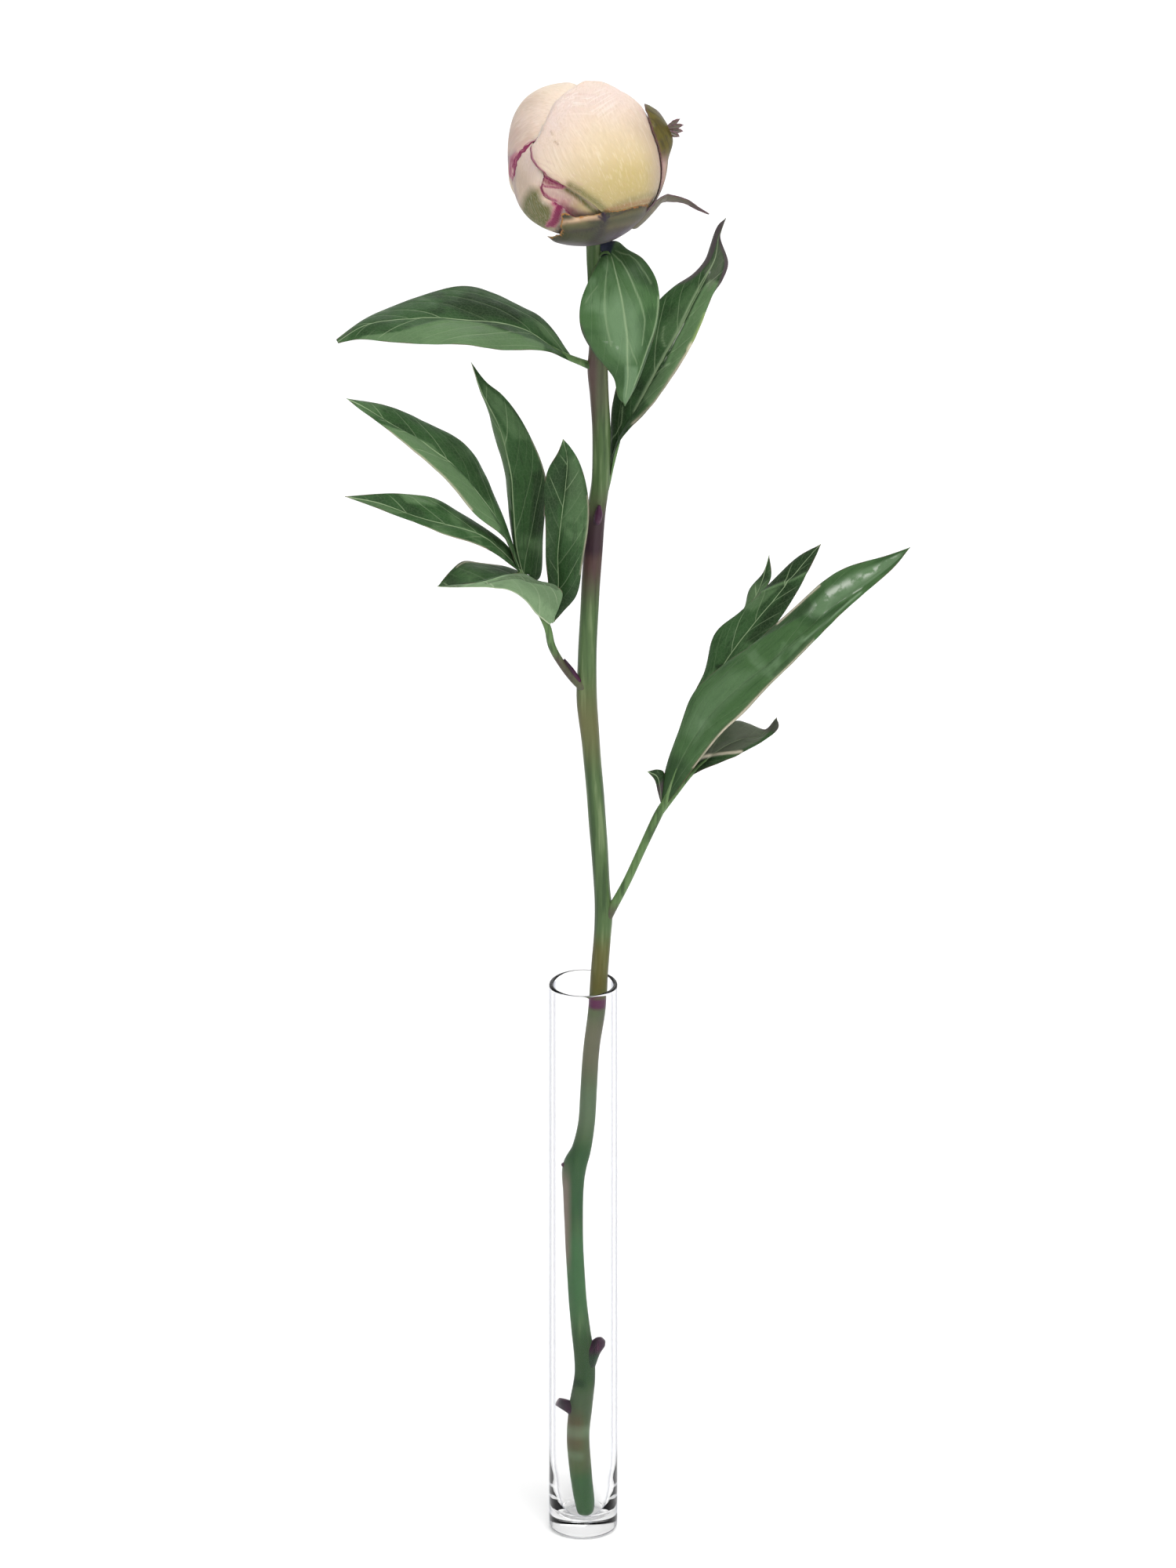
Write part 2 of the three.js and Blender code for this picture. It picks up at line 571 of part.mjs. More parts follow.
const PETALS = {
  petal_front: {
    layer: 0,
    left: [
      [25, -78], [16, -45], [14, -17], [7, -6], [-8, 3], [-26, 10], [-40, 14], [-50, 23], [-49, 35],
      [-52, 46], [-60, 62], [-80, 76], [-150, 78], [172, 64],
    ],
    middle: [[45, -78], [45, -50], [40, -25], [32, 0], [24, 25], [15, 48], [5, 70], [150, 84], [168, 62]],
    right: [[75, -78], [80, -50], [88, -25], [94, 0], [98, 25], [100, 45], [106, 60], [130, 64], [164, 61]],
    rows: 18,
    halfColumns: 6,
  },
  petal_left: {
    layer: 1,
    left: [[-175, -78], [-176, -40], [-176, 0], [-174, 35], [-168, 62], [-120, 82], [-20, 74]],
    middle: [[-130, -78], [-122, -45], [-118, -10], [-115, 20], [-105, 45], [-85, 65], [-20, 73]],
    right: [
      [-112, -78], [-104, -50], [-87, -22], [-72, 0], [-68, 11], [-59, 23], [-46, 40], [-32, 55], [-20, 72],
    ],
    rows: 14,
    halfColumns: 5,
  },
  petal_low_left: {
    layer: 2,
    left: [[-115, -76], [-125, -45], [-125, -10], [-115, 18], [-95, 34], [-75, 40]],
    middle: [[-75, -77], [-74, -45], [-74, -15], [-74, 10], [-74, 28], [-74, 40]],
    right: [
      [-38, -76], [-31, -45], [-25, -32], [-19, -20], [-25, -13], [-36, -10], [-40, -3], [-38, 7], [-44, 20],
      [-73, 39],
    ],
    rows: 12,
    halfColumns: 4,
  },
  petal_low_front: {
    layer: 3.15,
    left: [[-60, -76], [-55, -40], [-50, -10], [-44, 12], [-28, 22]],
    middle: [[-5, -77], [-8, -40], [-12, -10], [-18, 12], [-27, 22]],
    right: [[50, -76], [42, -40], [25, -10], [5, 8], [-26, 21]],
    rows: 12,
    halfColumns: 5,
  },
  petal_right: {
    layer: 2,
    left: [[70, -77], [70, -45], [68, -10], [70, 25], [78, 50], [100, 70], [150, 76]],
    middle: [[125, -77], [128, -45], [130, -10], [132, 25], [135, 50], [145, 68], [151, 75]],
    right: [[180, -77], [-172, -45], [-165, -10], [-163, 25], [-168, 50], [175, 68], [152, 74]],
    rows: 12,
    halfColumns: 5,
  },
  petal_low_back: {
    layer: 0,
    left: [[135, -77], [132, -50], [132, -22], [142, 2], [170, 14]],
    middle: [[180, -77], [-178, -50], [-177, -22], [-179, 0], [172, 13]],
    right: [[-130, -77], [-124, -50], [-126, -22], [-142, 2], [174, 12]],
    rows: 10,
    halfColumns: 4,
  },
  sepal_front: {
    layer: -1,
    left: [
      [-75, -84], [-62, -66], [-55, -54], [-34, -45], [-24, -38], [-21, -27], [-17, -15], [-8, -18],
      [0, -16.5], [7, -16], [13, -14],
    ],
    middle: [[0, -86], [6, -66], [10, -52], [12, -42], [13, -34], [14, -26], [14, -19], [14, -13]],
    right: [[75, -84], [72, -62], [72, -45], [68, -32], [60, -21], [46, -16], [31, -15], [15, -14]],
    rows: 12,
    halfColumns: 5,
  },
  sepal_right: {
    layer: -1,
    left: [[100, -79], [88, -50], [82, -25], [76, 2, 0.2], [75, 16, 0.2], [75, 31, 0.2], [88, 43, 0.2]],
    middle: [[110, -79], [104, -50], [101, -25], [99, 2, 1.6], [98, 14, 4.5], [98, 26, 3.6], [97, 44, 0.3]],
    right: [
      [125, -79], [124, -50], [122, -25], [120, 2, 1.4], [118, 14, 3.9], [114, 26, 3.6], [102, 43, 0.4],
    ],
    rows: 12,
    halfColumns: 3,
  },
  bract: {
    layer: -1.9,
    left: [
      [50, -41], [54, -33], [58, -24], [66, -17.8, 0.3], [76, -15.4, 2], [80, -16.2, 9], [82, -18.9, 14],
      [82.5, -20.5, 18.6],
    ],
    middle: [
      [64, -44], [67, -38], [70, -30], [74, -22, 0.5], [79, -19.4, 2], [82, -18.4, 9], [83, -20.2, 14],
      [83, -20.8, 18.6],
    ],
    right: [
      [76, -46], [80, -42], [83, -35], [85, -27.5, 0.8], [84, -24, 2.6], [84, -20.8, 9], [84, -21.5, 14],
      [83.5, -21.1, 18.6],
    ],
    rows: 14,
    halfColumns: 2,
  },
  sepal_back: {
    layer: -1,
    left: [[150, -79], [150, -55], [152, -35], [162, -18], [180, -10]],
    middle: [[-170, -79], [-172, -55], [-173, -35], [-175, -20], [-178, -11]],
    right: [[-110, -79], [-120, -55], [-130, -35], [-148, -20], [-176, -12]],
    rows: 8,
    halfColumns: 4,
  },
};

// The right sepal ends in a small leafy tuft, which stands off to the right.
const TUFT = {
  left: [[29.8, 511.6, 6], [32.4, 512.7, 5.5], [34.2, 513.4, 5], [35.6, 513.6, 4.5]],
  rib: [[29.8, 509.6, 6], [33.2, 510.4, 5.5], [36.2, 511.4, 4.5]],
  right: [[29.9, 508, 6], [33.4, 507.4, 5.5], [35.6, 508.8, 5], [36.6, 510.6, 4.5]],
  rows: 5,
  wave: 0.2,
};

// The packed inner petals, which the outer ones hide.
function heart() {
  const rows = 16;
  const sides = 24;
  const points = [onBud(new THREE.Vector3(0, 0, -1), HEART_LAYER, 0)];
  for (let i = 1; i < rows; i++) {
    for (let j = 0; j < sides; j++) {
      points.push(onBud(direction([(j / sides) * 360, -90 + (i / rows) * 180]), HEART_LAYER, 0));
    }
  }
  points.push(onBud(new THREE.Vector3(0, 0, 1), HEART_LAYER, 0));
  const top = points.length - 1;
  const triangles = [];
  for (let j = 0; j < sides; j++) {
    const k = (j + 1) % sides;
    triangles.push([0, 1 + k, 1 + j]);
    for (let i = 0; i < rows - 2; i++) {
      const a = 1 + i * sides + j;
      const b = 1 + i * sides + k;
      triangles.push([a, b, b + sides], [a, b + sides, a + sides]);
    }
    triangles.push([top, top - sides + j, top - sides + k]);
  }
  return geometryOf(points, triangles);
}

const material = (color, roughness, more) => new THREE.MeshStandardMaterial({ color, roughness, ...more });
const GLASS = material(0xdfe6e6, 0.05, { transparent: true, opacity: 0.3 });
const STEM_GREEN = material(0x5d8060, 0.6);
const LEAF_GREEN = material(0x3f6a45, 0.55);
const PETAL_CREAM = material(0xf5e3d0, 0.7);
const SEPAL_GREEN = material(0x5c6150, 0.65);

const flower = new THREE.Group();

function add(name, geometry, colour) {
  const mesh = new THREE.Mesh(geometry, colour);
  mesh.name = name;
  flower.add(mesh);
}

add('vase', vase(), GLASS);
add('stem', geometryOfSolid(stem(0)), STEM_GREEN);
const cleared = stem(GAP);
for (const [name, pieces] of Object.entries(LEAVES)) {
  add(name, geometryOfSolid(leaf(pieces, cleared)), LEAF_GREEN);
}
add('bud_heart', heart(), PETAL_CREAM);
for (const [name, outline] of Object.entries(PETALS)) {
  const tufted = name === 'sepal_right';
  const geometry = tufted ? geometryOfSolid(join([petal(outline), blade(TUFT)])) : petal(outline);
  add(name, geometry, name.startsWith('petal') ? PETAL_CREAM : SEPAL_GREEN);
}

export default flower;
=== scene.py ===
# %% [markdown]
# # A cut peony in bud, standing in a plain glass tube vase
# The packed solids give every piece its place. This lesson dresses them: it builds each leaflet, petal and
# sepal again as a fine sheet on the same lines as its solid, blows the vase in clear glass, and paints every
# piece with a material made of nodes. Measures are written in millimetres and turned into metres at the end.

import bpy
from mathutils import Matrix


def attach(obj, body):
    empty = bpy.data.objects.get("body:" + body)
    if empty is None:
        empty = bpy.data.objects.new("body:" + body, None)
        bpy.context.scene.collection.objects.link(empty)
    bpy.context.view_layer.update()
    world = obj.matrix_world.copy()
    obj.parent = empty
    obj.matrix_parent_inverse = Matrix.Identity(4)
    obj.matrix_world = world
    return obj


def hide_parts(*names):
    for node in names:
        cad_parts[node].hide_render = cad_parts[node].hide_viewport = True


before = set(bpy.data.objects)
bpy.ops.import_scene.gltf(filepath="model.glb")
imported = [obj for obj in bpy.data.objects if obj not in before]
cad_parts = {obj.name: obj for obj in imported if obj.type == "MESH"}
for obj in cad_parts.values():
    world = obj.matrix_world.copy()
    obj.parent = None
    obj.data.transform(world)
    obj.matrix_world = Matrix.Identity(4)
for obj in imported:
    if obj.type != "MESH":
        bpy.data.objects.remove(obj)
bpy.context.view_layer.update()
print("solids in the frame:", len(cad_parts))

# %% The other tools
import math

import bmesh
import bpy
import numpy as np

MM = 0.001
scene = bpy.context.scene


def add_object(name, data):
    """A new object that shows the data, put into the scene."""
    thing = bpy.data.objects.new(name, data)
    scene.collection.objects.link(thing)
    return thing


def finished_mesh(name, shape):
    """The mesh of a bmesh whose work is done."""
    mesh = bpy.data.meshes.new(name)
    shape.to_mesh(mesh)
    shape.free()
    return mesh


print("a millimetre in Blender's metres:", MM)

# %% [markdown]
# ## The camera
# The photograph shows the flower from far away and from a little above: upright lines stay parallel, and the
# vase's round foot and rim are flattened circles. How flat they are gives the angle, 24.5 degrees. A camera
# could be a long lens far off, but an orthographic one has no perspective at all, so it fits better here.
# Its scale is the height of the frame in metres, and it aims at the middle of the frame.

# %% An orthographic camera that looks down by 24.5 degrees
LOOK_DOWN = math.radians(24.5)
FRAME_HEIGHT = 572.8 * MM
AIM = (1.72 * MM, 0.0, 297.9 * MM)
CAMERA_AWAY = 1.5

camera = add_object("camera", bpy.data.cameras.new("camera"))
camera.data.type = "ORTHO"
camera.data.ortho_scale = FRAME_HEIGHT
camera.location = (
    AIM[0],
    AIM[1] - CAMERA_AWAY * math.cos(LOOK_DOWN),
    AIM[2] + CAMERA_AWAY * math.sin(LOOK_DOWN),
)
camera.rotation_euler = (math.pi / 2 - LOOK_DOWN, 0.0, 0.0)
scene.camera = camera
print("camera frame height in m:", round(FRAME_HEIGHT, 4))

# %% [markdown]
# ## Floor, backdrop and light
# The flower stands in front of plain white. A real studio gets that with one sheet of paper which lies on the
# table and curves up behind it, so the floor here is such a sheet: a line of points, extruded sideways. Large
# soft lights and a pale world keep the shadows faint. The standard view keeps white paper white.

# %% One sheet of paper for the floor and the backdrop
FLOOR_HALF = 6.0
SWEEP_RADIUS = 1.0
SWEEP_STEPS = 12
BACKDROP_AT = 3.0
BACKDROP_HEIGHT = 5.0
PAPER_BELOW = 0.1 * MM


def paper_line():
    """The sheet's outline from the side: flat, then a quarter circle, then upright."""
    line = [(-FLOOR_HALF, -PAPER_BELOW)]
    for k in range(SWEEP_STEPS + 1):
        turn = k / SWEEP_STEPS * math.pi / 2
        line.append((
            BACKDROP_AT + SWEEP_RADIUS * math.sin(turn),
            SWEEP_RADIUS * (1 - math.cos(turn)) - PAPER_BELOW,
        ))
    line.append((BACKDROP_AT + SWEEP_RADIUS, BACKDROP_HEIGHT))
    return line


paper_shape = bmesh.new()
points = [paper_shape.verts.new((-FLOOR_HALF, y, z)) for y, z in paper_line()]
edges = [paper_shape.edges.new(pair) for pair in zip(points, points[1:])]
swept = bmesh.ops.extrude_edge_only(paper_shape, edges=edges)
moved = [v for v in swept["geom"] if isinstance(v, bmesh.types.BMVert)]
bmesh.ops.translate(paper_shape, verts=moved, vec=(2 * FLOOR_HALF, 0.0, 0.0))
bmesh.ops.recalc_face_normals(paper_shape, faces=paper_shape.faces)
paper = add_object("paper", finished_mesh("paper", paper_shape))
print("paper faces:", len(paper.data.polygons))

# %% Soft studio light
LIT_POINT = (0.0, 0.0, 0.42)
LAMPS = [  # name, place in m, width in m, power in W
    ("key_light", (0.3, -1.1, 2.3), 1.7, 44.0),
    ("fill_light", (1.5, -1.6, 1.0), 1.4, 5.0),
    ("back_light", (0.5, 1.7, 1.8), 1.4, 8.0),
]
WHITE = (1.0, 1.0, 1.0, 1.0)
WORLD_STRENGTH = 0.42


def soft_light(name, place, size, power):
    """A square lamp at a place, turned towards the lit point."""
    lamp = add_object(name, bpy.data.lights.new(name, "AREA"))
    lamp.data.shape = "SQUARE"
    lamp.data.size = size
    lamp.data.energy = power
    lamp.location = place
    away = [a - b for a, b in zip(place, LIT_POINT)]
    lamp.rotation_euler = (
        math.atan2(math.hypot(away[0], away[1]), away[2]),
        0.0,
        math.atan2(away[0], -away[1]),
    )


for lamp_values in LAMPS:
    soft_light(*lamp_values)
world = bpy.data.worlds.new("studio")
scene.world = world
world.use_nodes = True
world.node_tree.nodes["Background"].inputs["Color"].default_value = WHITE
world.node_tree.nodes["Background"].inputs["Strength"].default_value = WORLD_STRENGTH
scene.view_settings.view_transform = "Standard"

# %% [markdown]
# ## Smooth lines
# A leaflet is drawn by three lines, its two edges and its rib, and a stem by one. Each line goes smoothly
# through a few measured points. Blender's curves could hold them, but a sheet needs points on three lines at
# once, so a small function walks each line: the centripetal Catmull-Rom curve, which makes no loops.

# %% Points on a smooth line
TINY = 1e-4
NO_LENGTH = 1e-12
LINE_STEPS = 201


def unit(vectors):
    """The same directions with length 1."""
    return vectors / np.maximum(np.linalg.norm(vectors, axis=-1, keepdims=True), NO_LENGTH)


def walk(points, shares):
    """Places on the smooth line through the points, at shares of its spans from 0 to 1."""
    p = np.asarray(points, float)
    wide = np.vstack([2 * p[0] - p[1], p, 2 * p[-1] - p[-2]])
    place = np.clip(shares, 0.0, 1.0) * (len(p) - 1)
    k = np.minimum(place.astype(int), len(p) - 2)
    w = (place - k)[:, None]
    a, b, c, d = (wide[k + n] for n in range(4))
    before, here, after = (
        np.sqrt(np.linalg.norm(q - r, axis=1))[:, None] for q, r in ((b, a), (c, b), (d, c))
    )
    here = np.where(here < TINY, 1.0, here)
    before = np.where(before < TINY, here, before)
    after = np.where(after < TINY, here, after)
    start = ((b - a) / before - (c - a) / (before + here) + (c - b) / here) * here
    end = ((c - b) / here - (d - b) / (here + after) + (d - c) / after) * here
    return b + start * w + (-3 * b + 3 * c - 2 * start - end) * w**2 + (2 * b - 2 * c + start + end) * w**3


def even_shares(points, lengths):
    """The shares of a line's spans at which it has run the given shares of its length, and its length."""
    steps = np.linspace(0.0, 1.0, LINE_STEPS)
    line = walk(points, steps)
    run = np.concatenate([[0.0], np.cumsum(np.linalg.norm(np.diff(line, axis=0), axis=1))])
    return np.interp(np.clip(lengths, 0.0, 1.0) * run[-1], run, steps), run[-1]


def ahead(points, shares):
    """The line's direction at shares of its spans."""
    return unit(walk(points, np.minimum(shares + TINY, 1.0)) - walk(points, np.maximum(shares - TINY, 0.0)))


def seen(points):
    """Places written as right, up the view and depth, in the object's own axes."""
    p = np.asarray(points, float)
    height = (p[:, 1] - p[:, 2] * math.sin(LOOK_DOWN)) / math.cos(LOOK_DOWN)
    return np.stack([p[:, 0], p[:, 2], height], axis=1)


print("a smooth line works:", walk([[0, 0, 0], [1, 0, 0], [2, 1, 0]], np.array([0.5]))[0])

# %% [markdown]
# ## Thin sheets
# Leaflets, petals and sepals are all thin sheets. Each starts as a flat grid that runs from -1 to 1 across
# and from 0 to 1 along, and a rule moves every point of it into place. The rule also says, for every point,
# how far it is from the rib, from the base and from the margin, in millimetres. These measures and any
# painted spots are kept on the mesh as attributes, so that materials can follow the surface. The Solidify
# modifier then gives the sheet its thickness, thinner at the margin.

# %% A sheet from a flat grid and a rule
THIN_MARGIN = 1.2
THINNEST_SHARE = 0.25
THICKNESS_LEVELS = 12


def keep(mesh, name, values):
    """Keeps a number or a vector for each point of the mesh."""
    values = np.asarray(values, np.float32)
    kind, field = ("FLOAT", "value") if values.ndim == 1 else ("FLOAT_VECTOR", "vector")
    mesh.attributes.new(name, kind, "POINT").data.foreach_set(field, values.ravel())


def move_points(mesh, places):
    """Puts the mesh's points at places in mm."""
    mesh.vertices.foreach_set("co", (places * MM).astype(np.float32).ravel())


def flat_grid(name, columns, rows):
    """A flat grid as a mesh, with its across and along numbers."""
    grid = bmesh.new()
    bmesh.ops.create_grid(grid, x_segments=columns, y_segments=rows, size=1.0)
    mesh = finished_mesh(name, grid)
    flat = np.empty(len(mesh.vertices) * 3, np.float32)
    mesh.vertices.foreach_get("co", flat)
    flat = flat.reshape(-1, 3).astype(float)
    return mesh, flat[:, 0], (flat[:, 1] + 1) / 2


def keep_uv(mesh, across, along):
    """The grid's own numbers as a UV map."""
    corner = np.empty(len(mesh.loops), np.int32)
    mesh.loops.foreach_get("vertex_index", corner)
    uv = np.stack([(across + 1) / 2, along], 1)[corner].astype(np.float32)
    mesh.uv_layers.new(name="UVMap").data.foreach_set("uv", uv.ravel())


def thicken(piece, thickness, margin, thin_margin):
    """Solidify, thinner towards the margin."""
    group = piece.vertex_groups.new(name="thickness")
    share = np.clip(margin / thin_margin, THINNEST_SHARE, 1.0)
    share = np.round(share * THICKNESS_LEVELS) / THICKNESS_LEVELS
    for level in np.unique(share):
        group.add(np.flatnonzero(share == level).tolist(), float(level), "REPLACE")
    solid = piece.modifiers.new("thickness", "SOLIDIFY")
    solid.thickness = thickness * MM
    solid.offset = 0.0
    solid.vertex_group = "thickness"
    solid.thickness_vertex_group = 0.0
    solid.material_offset = len(piece.data.materials) - 1


def sheet(name, columns, rows, rule, thickness, finishes, thin_margin=THIN_MARGIN):
    """A named sheet. The rule gives each point's place in mm, its measures and its painted spots."""
    mesh, across, along = flat_grid(name, columns, rows)
    places, measures, spots = rule(across, along)
    move_points(mesh, places)
    keep_uv(mesh, across, along)
    keep(mesh, "measures", measures)
    for spot, values in spots.items():
        keep(mesh, spot, values)
    mesh.shade_smooth()
    piece = add_object(name, mesh)
    for finish in finishes:
        mesh.materials.append(finish)
    thicken(piece, thickness, measures[:, 2], thin_margin)
    return piece


print("levels of thickness near a margin:", THICKNESS_LEVELS)

# %% [markdown]
# ## Round stalks
# A stem could be a curve with a bevel, but its thickness changes often and it has faint ridges, so it is a
# grid as well, rolled into a tube round a smooth line. The seam's doubles are merged, and the ends are
# filled.

# %% A tube along a smooth line
SEAM_GAP = 0.5e-5


def frames_along(directions):
    """Two directions square to the line at each place, turned as little as possible on the way."""
    side = np.array([1.0, 0.0, 0.0])
    sides = []
    for forward in directions:
        side = side - side.dot(forward) * forward
        side = side / np.linalg.norm(side)
        sides.append(side.copy())
    sides = np.array(sides)
    return sides, np.cross(directions, sides)


def closed_tube(mesh):
    """Merges the seam of a rolled grid and fills its two ends."""
    rolled = bmesh.new()
    rolled.from_mesh(mesh)
    bmesh.ops.remove_doubles(rolled, verts=rolled.verts, dist=SEAM_GAP)
    rims = [edge for edge in rolled.edges if edge.is_boundary]
    bmesh.ops.holes_fill(rolled, edges=rims, sides=0)
    bmesh.ops.recalc_face_normals(rolled, faces=rolled.faces)
    rolled.to_mesh(mesh)
    rolled.free()


def tube(name, points, around, rows, finish, swell=None):
    """A closed tube. Each point gives its place in mm and its radius; swell changes the radius by place."""
    centres, radii = np.asarray(points, float)[:, :3], np.asarray(points, float)[:, 3]
    mesh, across, along = flat_grid(name, around, rows)
    shares, total = even_shares(centres, np.linspace(0.0, 1.0, rows + 1))
    middle = walk(centres, shares)
    sides, others = frames_along(ahead(centres, shares))
    count = np.arange(len(radii), dtype=float)
    radius = walk(np.stack([count, radii, 0 * radii], 1), shares)[:, 1]
    row = np.rint(along * rows).astype(int)
    turn = across * math.pi
    thick = radius[row]
    if swell is not None:
        thick = thick * swell(turn, row / rows)
    outward = np.cos(turn)[:, None] * sides[row] + np.sin(turn)[:, None] * others[row]
    move_points(mesh, middle[row] + thick[:, None] * outward)
    keep(mesh, "measures", np.stack([turn * radius[row], along * total, thick], 1))
    closed_tube(mesh)
    mesh.shade_smooth()
    mesh.materials.append(finish)
    return add_object(name, mesh)


def mount(piece, node):
    """The piece moves with the one body and stands for its solid, which it hides."""
    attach(piece, "root")
    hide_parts(node)


print("the seam's gap in m:", SEAM_GAP)

# %% [markdown]
# ## Finishes
# Every finish is one Principled shader whose colour is built up as a painter would: a ground colour, then
# stains laid over it where noise, a measure of the sheet or a painted spot says so. Three small classes keep
# this short: the first makes nodes and joins them, the second reads the surface and makes noise on it, and
# the third lays colours and bumps over each other. Numbers that are the same all over are set on the shader's
# own sockets.

# %% Colours from their usual six digits
def hue(digits):
    """A colour from its six hexadecimal digits, as the linear numbers that shaders use."""
    parts = [int(digits[k:k + 2], 16) / 255 for k in (0, 2, 4)]
    return tuple(c / 12.92 if c <= 0.04045 else ((c + 0.055) / 1.055) ** 2.4 for c in parts) + (1.0,)


print("leaf green as linear numbers:", hue("32512C"))

# %% Nodes, made and joined one by one
class Nodes:
    """The nodes of a new material."""

    def __init__(self, name):
        self.material = bpy.data.materials.new(name)
        self.material.use_nodes = True
        self.tree = self.material.node_tree

    def node(self, kind, **inputs):
        """A new node with some of its inputs set or joined."""
        node = self.tree.nodes.new("ShaderNode" + kind)
        for name, value in inputs.items():
            self.put(node.inputs[name.replace("_", " ")], value)
        return node

    def put(self, socket, value):
        """Joins another node's socket to this one, or sets this one to a number."""
        if isinstance(value, bpy.types.NodeSocket):
            self.tree.links.new(value, socket)
        else:
            socket.default_value = value

    def sum(self, operation, a, b=0.0):
        """One sum of the Math node, by its name."""
        node = self.node("Math")
        node.operation = operation
        self.put(node.inputs[0], a)
        self.put(node.inputs[1], b)
        return node.outputs[0]

    def times(self, a, b):
        return self.sum("MULTIPLY", a, b)

    def plus(self, a, b):
        return self.sum("ADD", a, b)

    def fade(self, value, start, end, low=0.0, high=1.0):
        """Low before the start, high after the end, and smooth between them; it may also run downwards."""
        if start > end:
            start, end, low, high = end, start, high, low
        node = self.node("MapRange", Value=value, From_Min=start, From_Max=end, To_Min=low, To_Max=high)
        node.interpolation_type = "SMOOTHSTEP"
        return node.outputs["Result"]


print("ways to work with nodes:", [way for way in vars(Nodes) if not way.startswith("_")])

# %% Patterns that follow the surface
class Patterns(Nodes):
    """Nodes that read what a point of the surface is like, or make a pattern there."""

    def attribute(self, name):
        """A node that reads what is kept on the mesh under a name."""
        node = self.node("Attribute")
        node.attribute_name = name
        return node

    def spot(self, name):
        """How strongly a painted spot lies at a point."""
        return self.attribute(name).outputs["Fac"]

    def one_by_one(self, vector):
        """A vector, and its three numbers one by one."""
        split = self.node("SeparateXYZ", Vector=vector)
        return vector, *split.outputs

    def measures(self, name="measures"):
        """Numbers kept on the mesh: as a vector, and one by one."""
        return self.one_by_one(self.attribute(name).outputs["Vector"])

    def place(self):
        """The object's own coordinates, in metres: as a vector, and one by one."""
        return self.one_by_one(self.node("TexCoord").outputs["Object"])

    def stretch(self, vector, scale):
        """A vector with each of its numbers scaled: a small scale draws noise out that way."""
        return self.node("Mapping", Vector=vector, Scale=scale).outputs["Vector"]

    def noise(self, vector, scale, detail=3.0, distortion=0.0):
        """Cloudy noise between 0 and 1, finer where the scale is larger."""
        node = self.node("TexNoise", Vector=vector, Scale=scale, Detail=detail, Distortion=distortion)
        return node.outputs["Fac"]

    def cells(self, vector, scale):
        """How far a point is from the nearest wall of a net of cells."""
        node = self.node("TexVoronoi", Vector=vector, Scale=scale)
        node.feature = "DISTANCE_TO_EDGE"
        return node.outputs["Distance"]


print("ways to make patterns:", [way for way in vars(Patterns) if not way.startswith("_")])

# %% A finish, layer by layer
SHARE_SOCKET, UNDER_SOCKET, OVER_SOCKET, MIXED_SOCKET = 0, 6, 7, 2  # of a Mix node that mixes colours


class Finish(Patterns):
    """A material under way, with its colour so far and its bumps so far."""

    def __init__(self, name, ground, roughness):
        super().__init__(name)
        self.shader = self.tree.nodes["Principled BSDF"]
        self.shader.inputs["Roughness"].default_value = roughness
        self.colour = hue(ground)
        self.normal = None

    def stain(self, digits, share):
        """Lays a colour over the colour so far."""
        node = self.node("Mix")
        node.data_type = "RGBA"
        node.clamp_factor = True
        self.put(node.inputs[SHARE_SOCKET], share)
        self.put(node.inputs[UNDER_SOCKET], self.colour)
        self.put(node.inputs[OVER_SOCKET], hue(digits))
        self.colour = node.outputs[MIXED_SOCKET]

    def raised(self, height, distance, strength):
        """Adds a height in mm to the bumps so far."""
        node = self.node("Bump", Height=height, Distance=distance * MM, Strength=strength)
        if self.normal is not None:
            self.put(node.inputs["Normal"], self.normal)
        self.normal = node.outputs["Normal"]

    def done(self, **sockets):
        """Joins the colour and bumps to the shader, sets its other sockets, and hands over the material."""
        self.put(self.shader.inputs["Base Color"], self.colour)
        if self.normal is not None:
            self.put(self.shader.inputs["Normal"], self.normal)
        for name, value in sockets.items():
            self.put(self.shader.inputs[name.replace("_", " ")], value)
        return self.material


paper_finish = Finish("white_paper", "F4F4F4", 0.9)
paper_place = paper_finish.place()[0]
paper_finish.stain("FFFFFF", paper_finish.noise(paper_place, 3.0))
paper_finish.raised(paper_finish.noise(paper_place, 900.0), 0.05, 0.3)
paper.data.materials.append(paper_finish.done(Emission_Color=WHITE, Emission_Strength=0.2))
print("the paper's finish has", len(paper_finish.tree.nodes), "nodes")

# %% [markdown]
# ## The vase
# A glass tube is drawn from a gather and its rim is melted round in a flame. Its wall is the same all the way
# down to the bottom, which is thick and rounded inside like a bowl. Half of its section, spun round the axis,
# gives the whole vase as one closed shell with a real wall, which glass needs for its refraction. Rings close
# to the rim and the foot keep the shading of the long wall upright, or it would look dark there. A look along
# the wall goes through more glass, so the glass gets a greyer tint where it is seen at a grazing angle; this
# grey is also painted shade that darkens the edges of the wall.

# %% Spin the vase from its section
VASE_RADIUS = 12.5
VASE_HEIGHT = 218.0
VASE_WALL = 1.6
VASE_FLOOR = 5.0
VASE_TURNS = 144
FLAT_FOOT_RADIUS = 5.0
FOOT_RADIUS = 10.3
FOOT_ROUND = 2.2
FOOT_STEPS = 16
LIP_STEPS = 24
CLOSE_RING = 0.3
WALL_RINGS = [30.0, 60.0, 90.0, 120.0, 150.0, 180.0, 210.0]
BOWL_TOP = 38.0
BOWL_STEPS = 61
BOWL = [(10.9, 30.0), (10.75, 25.0), (10.3, 20.0), (9.75, 14.5), (8.7, 9.4), (7.2, 6.7), (4.5, 5.3)]
SAME_PLACE = 1e-6


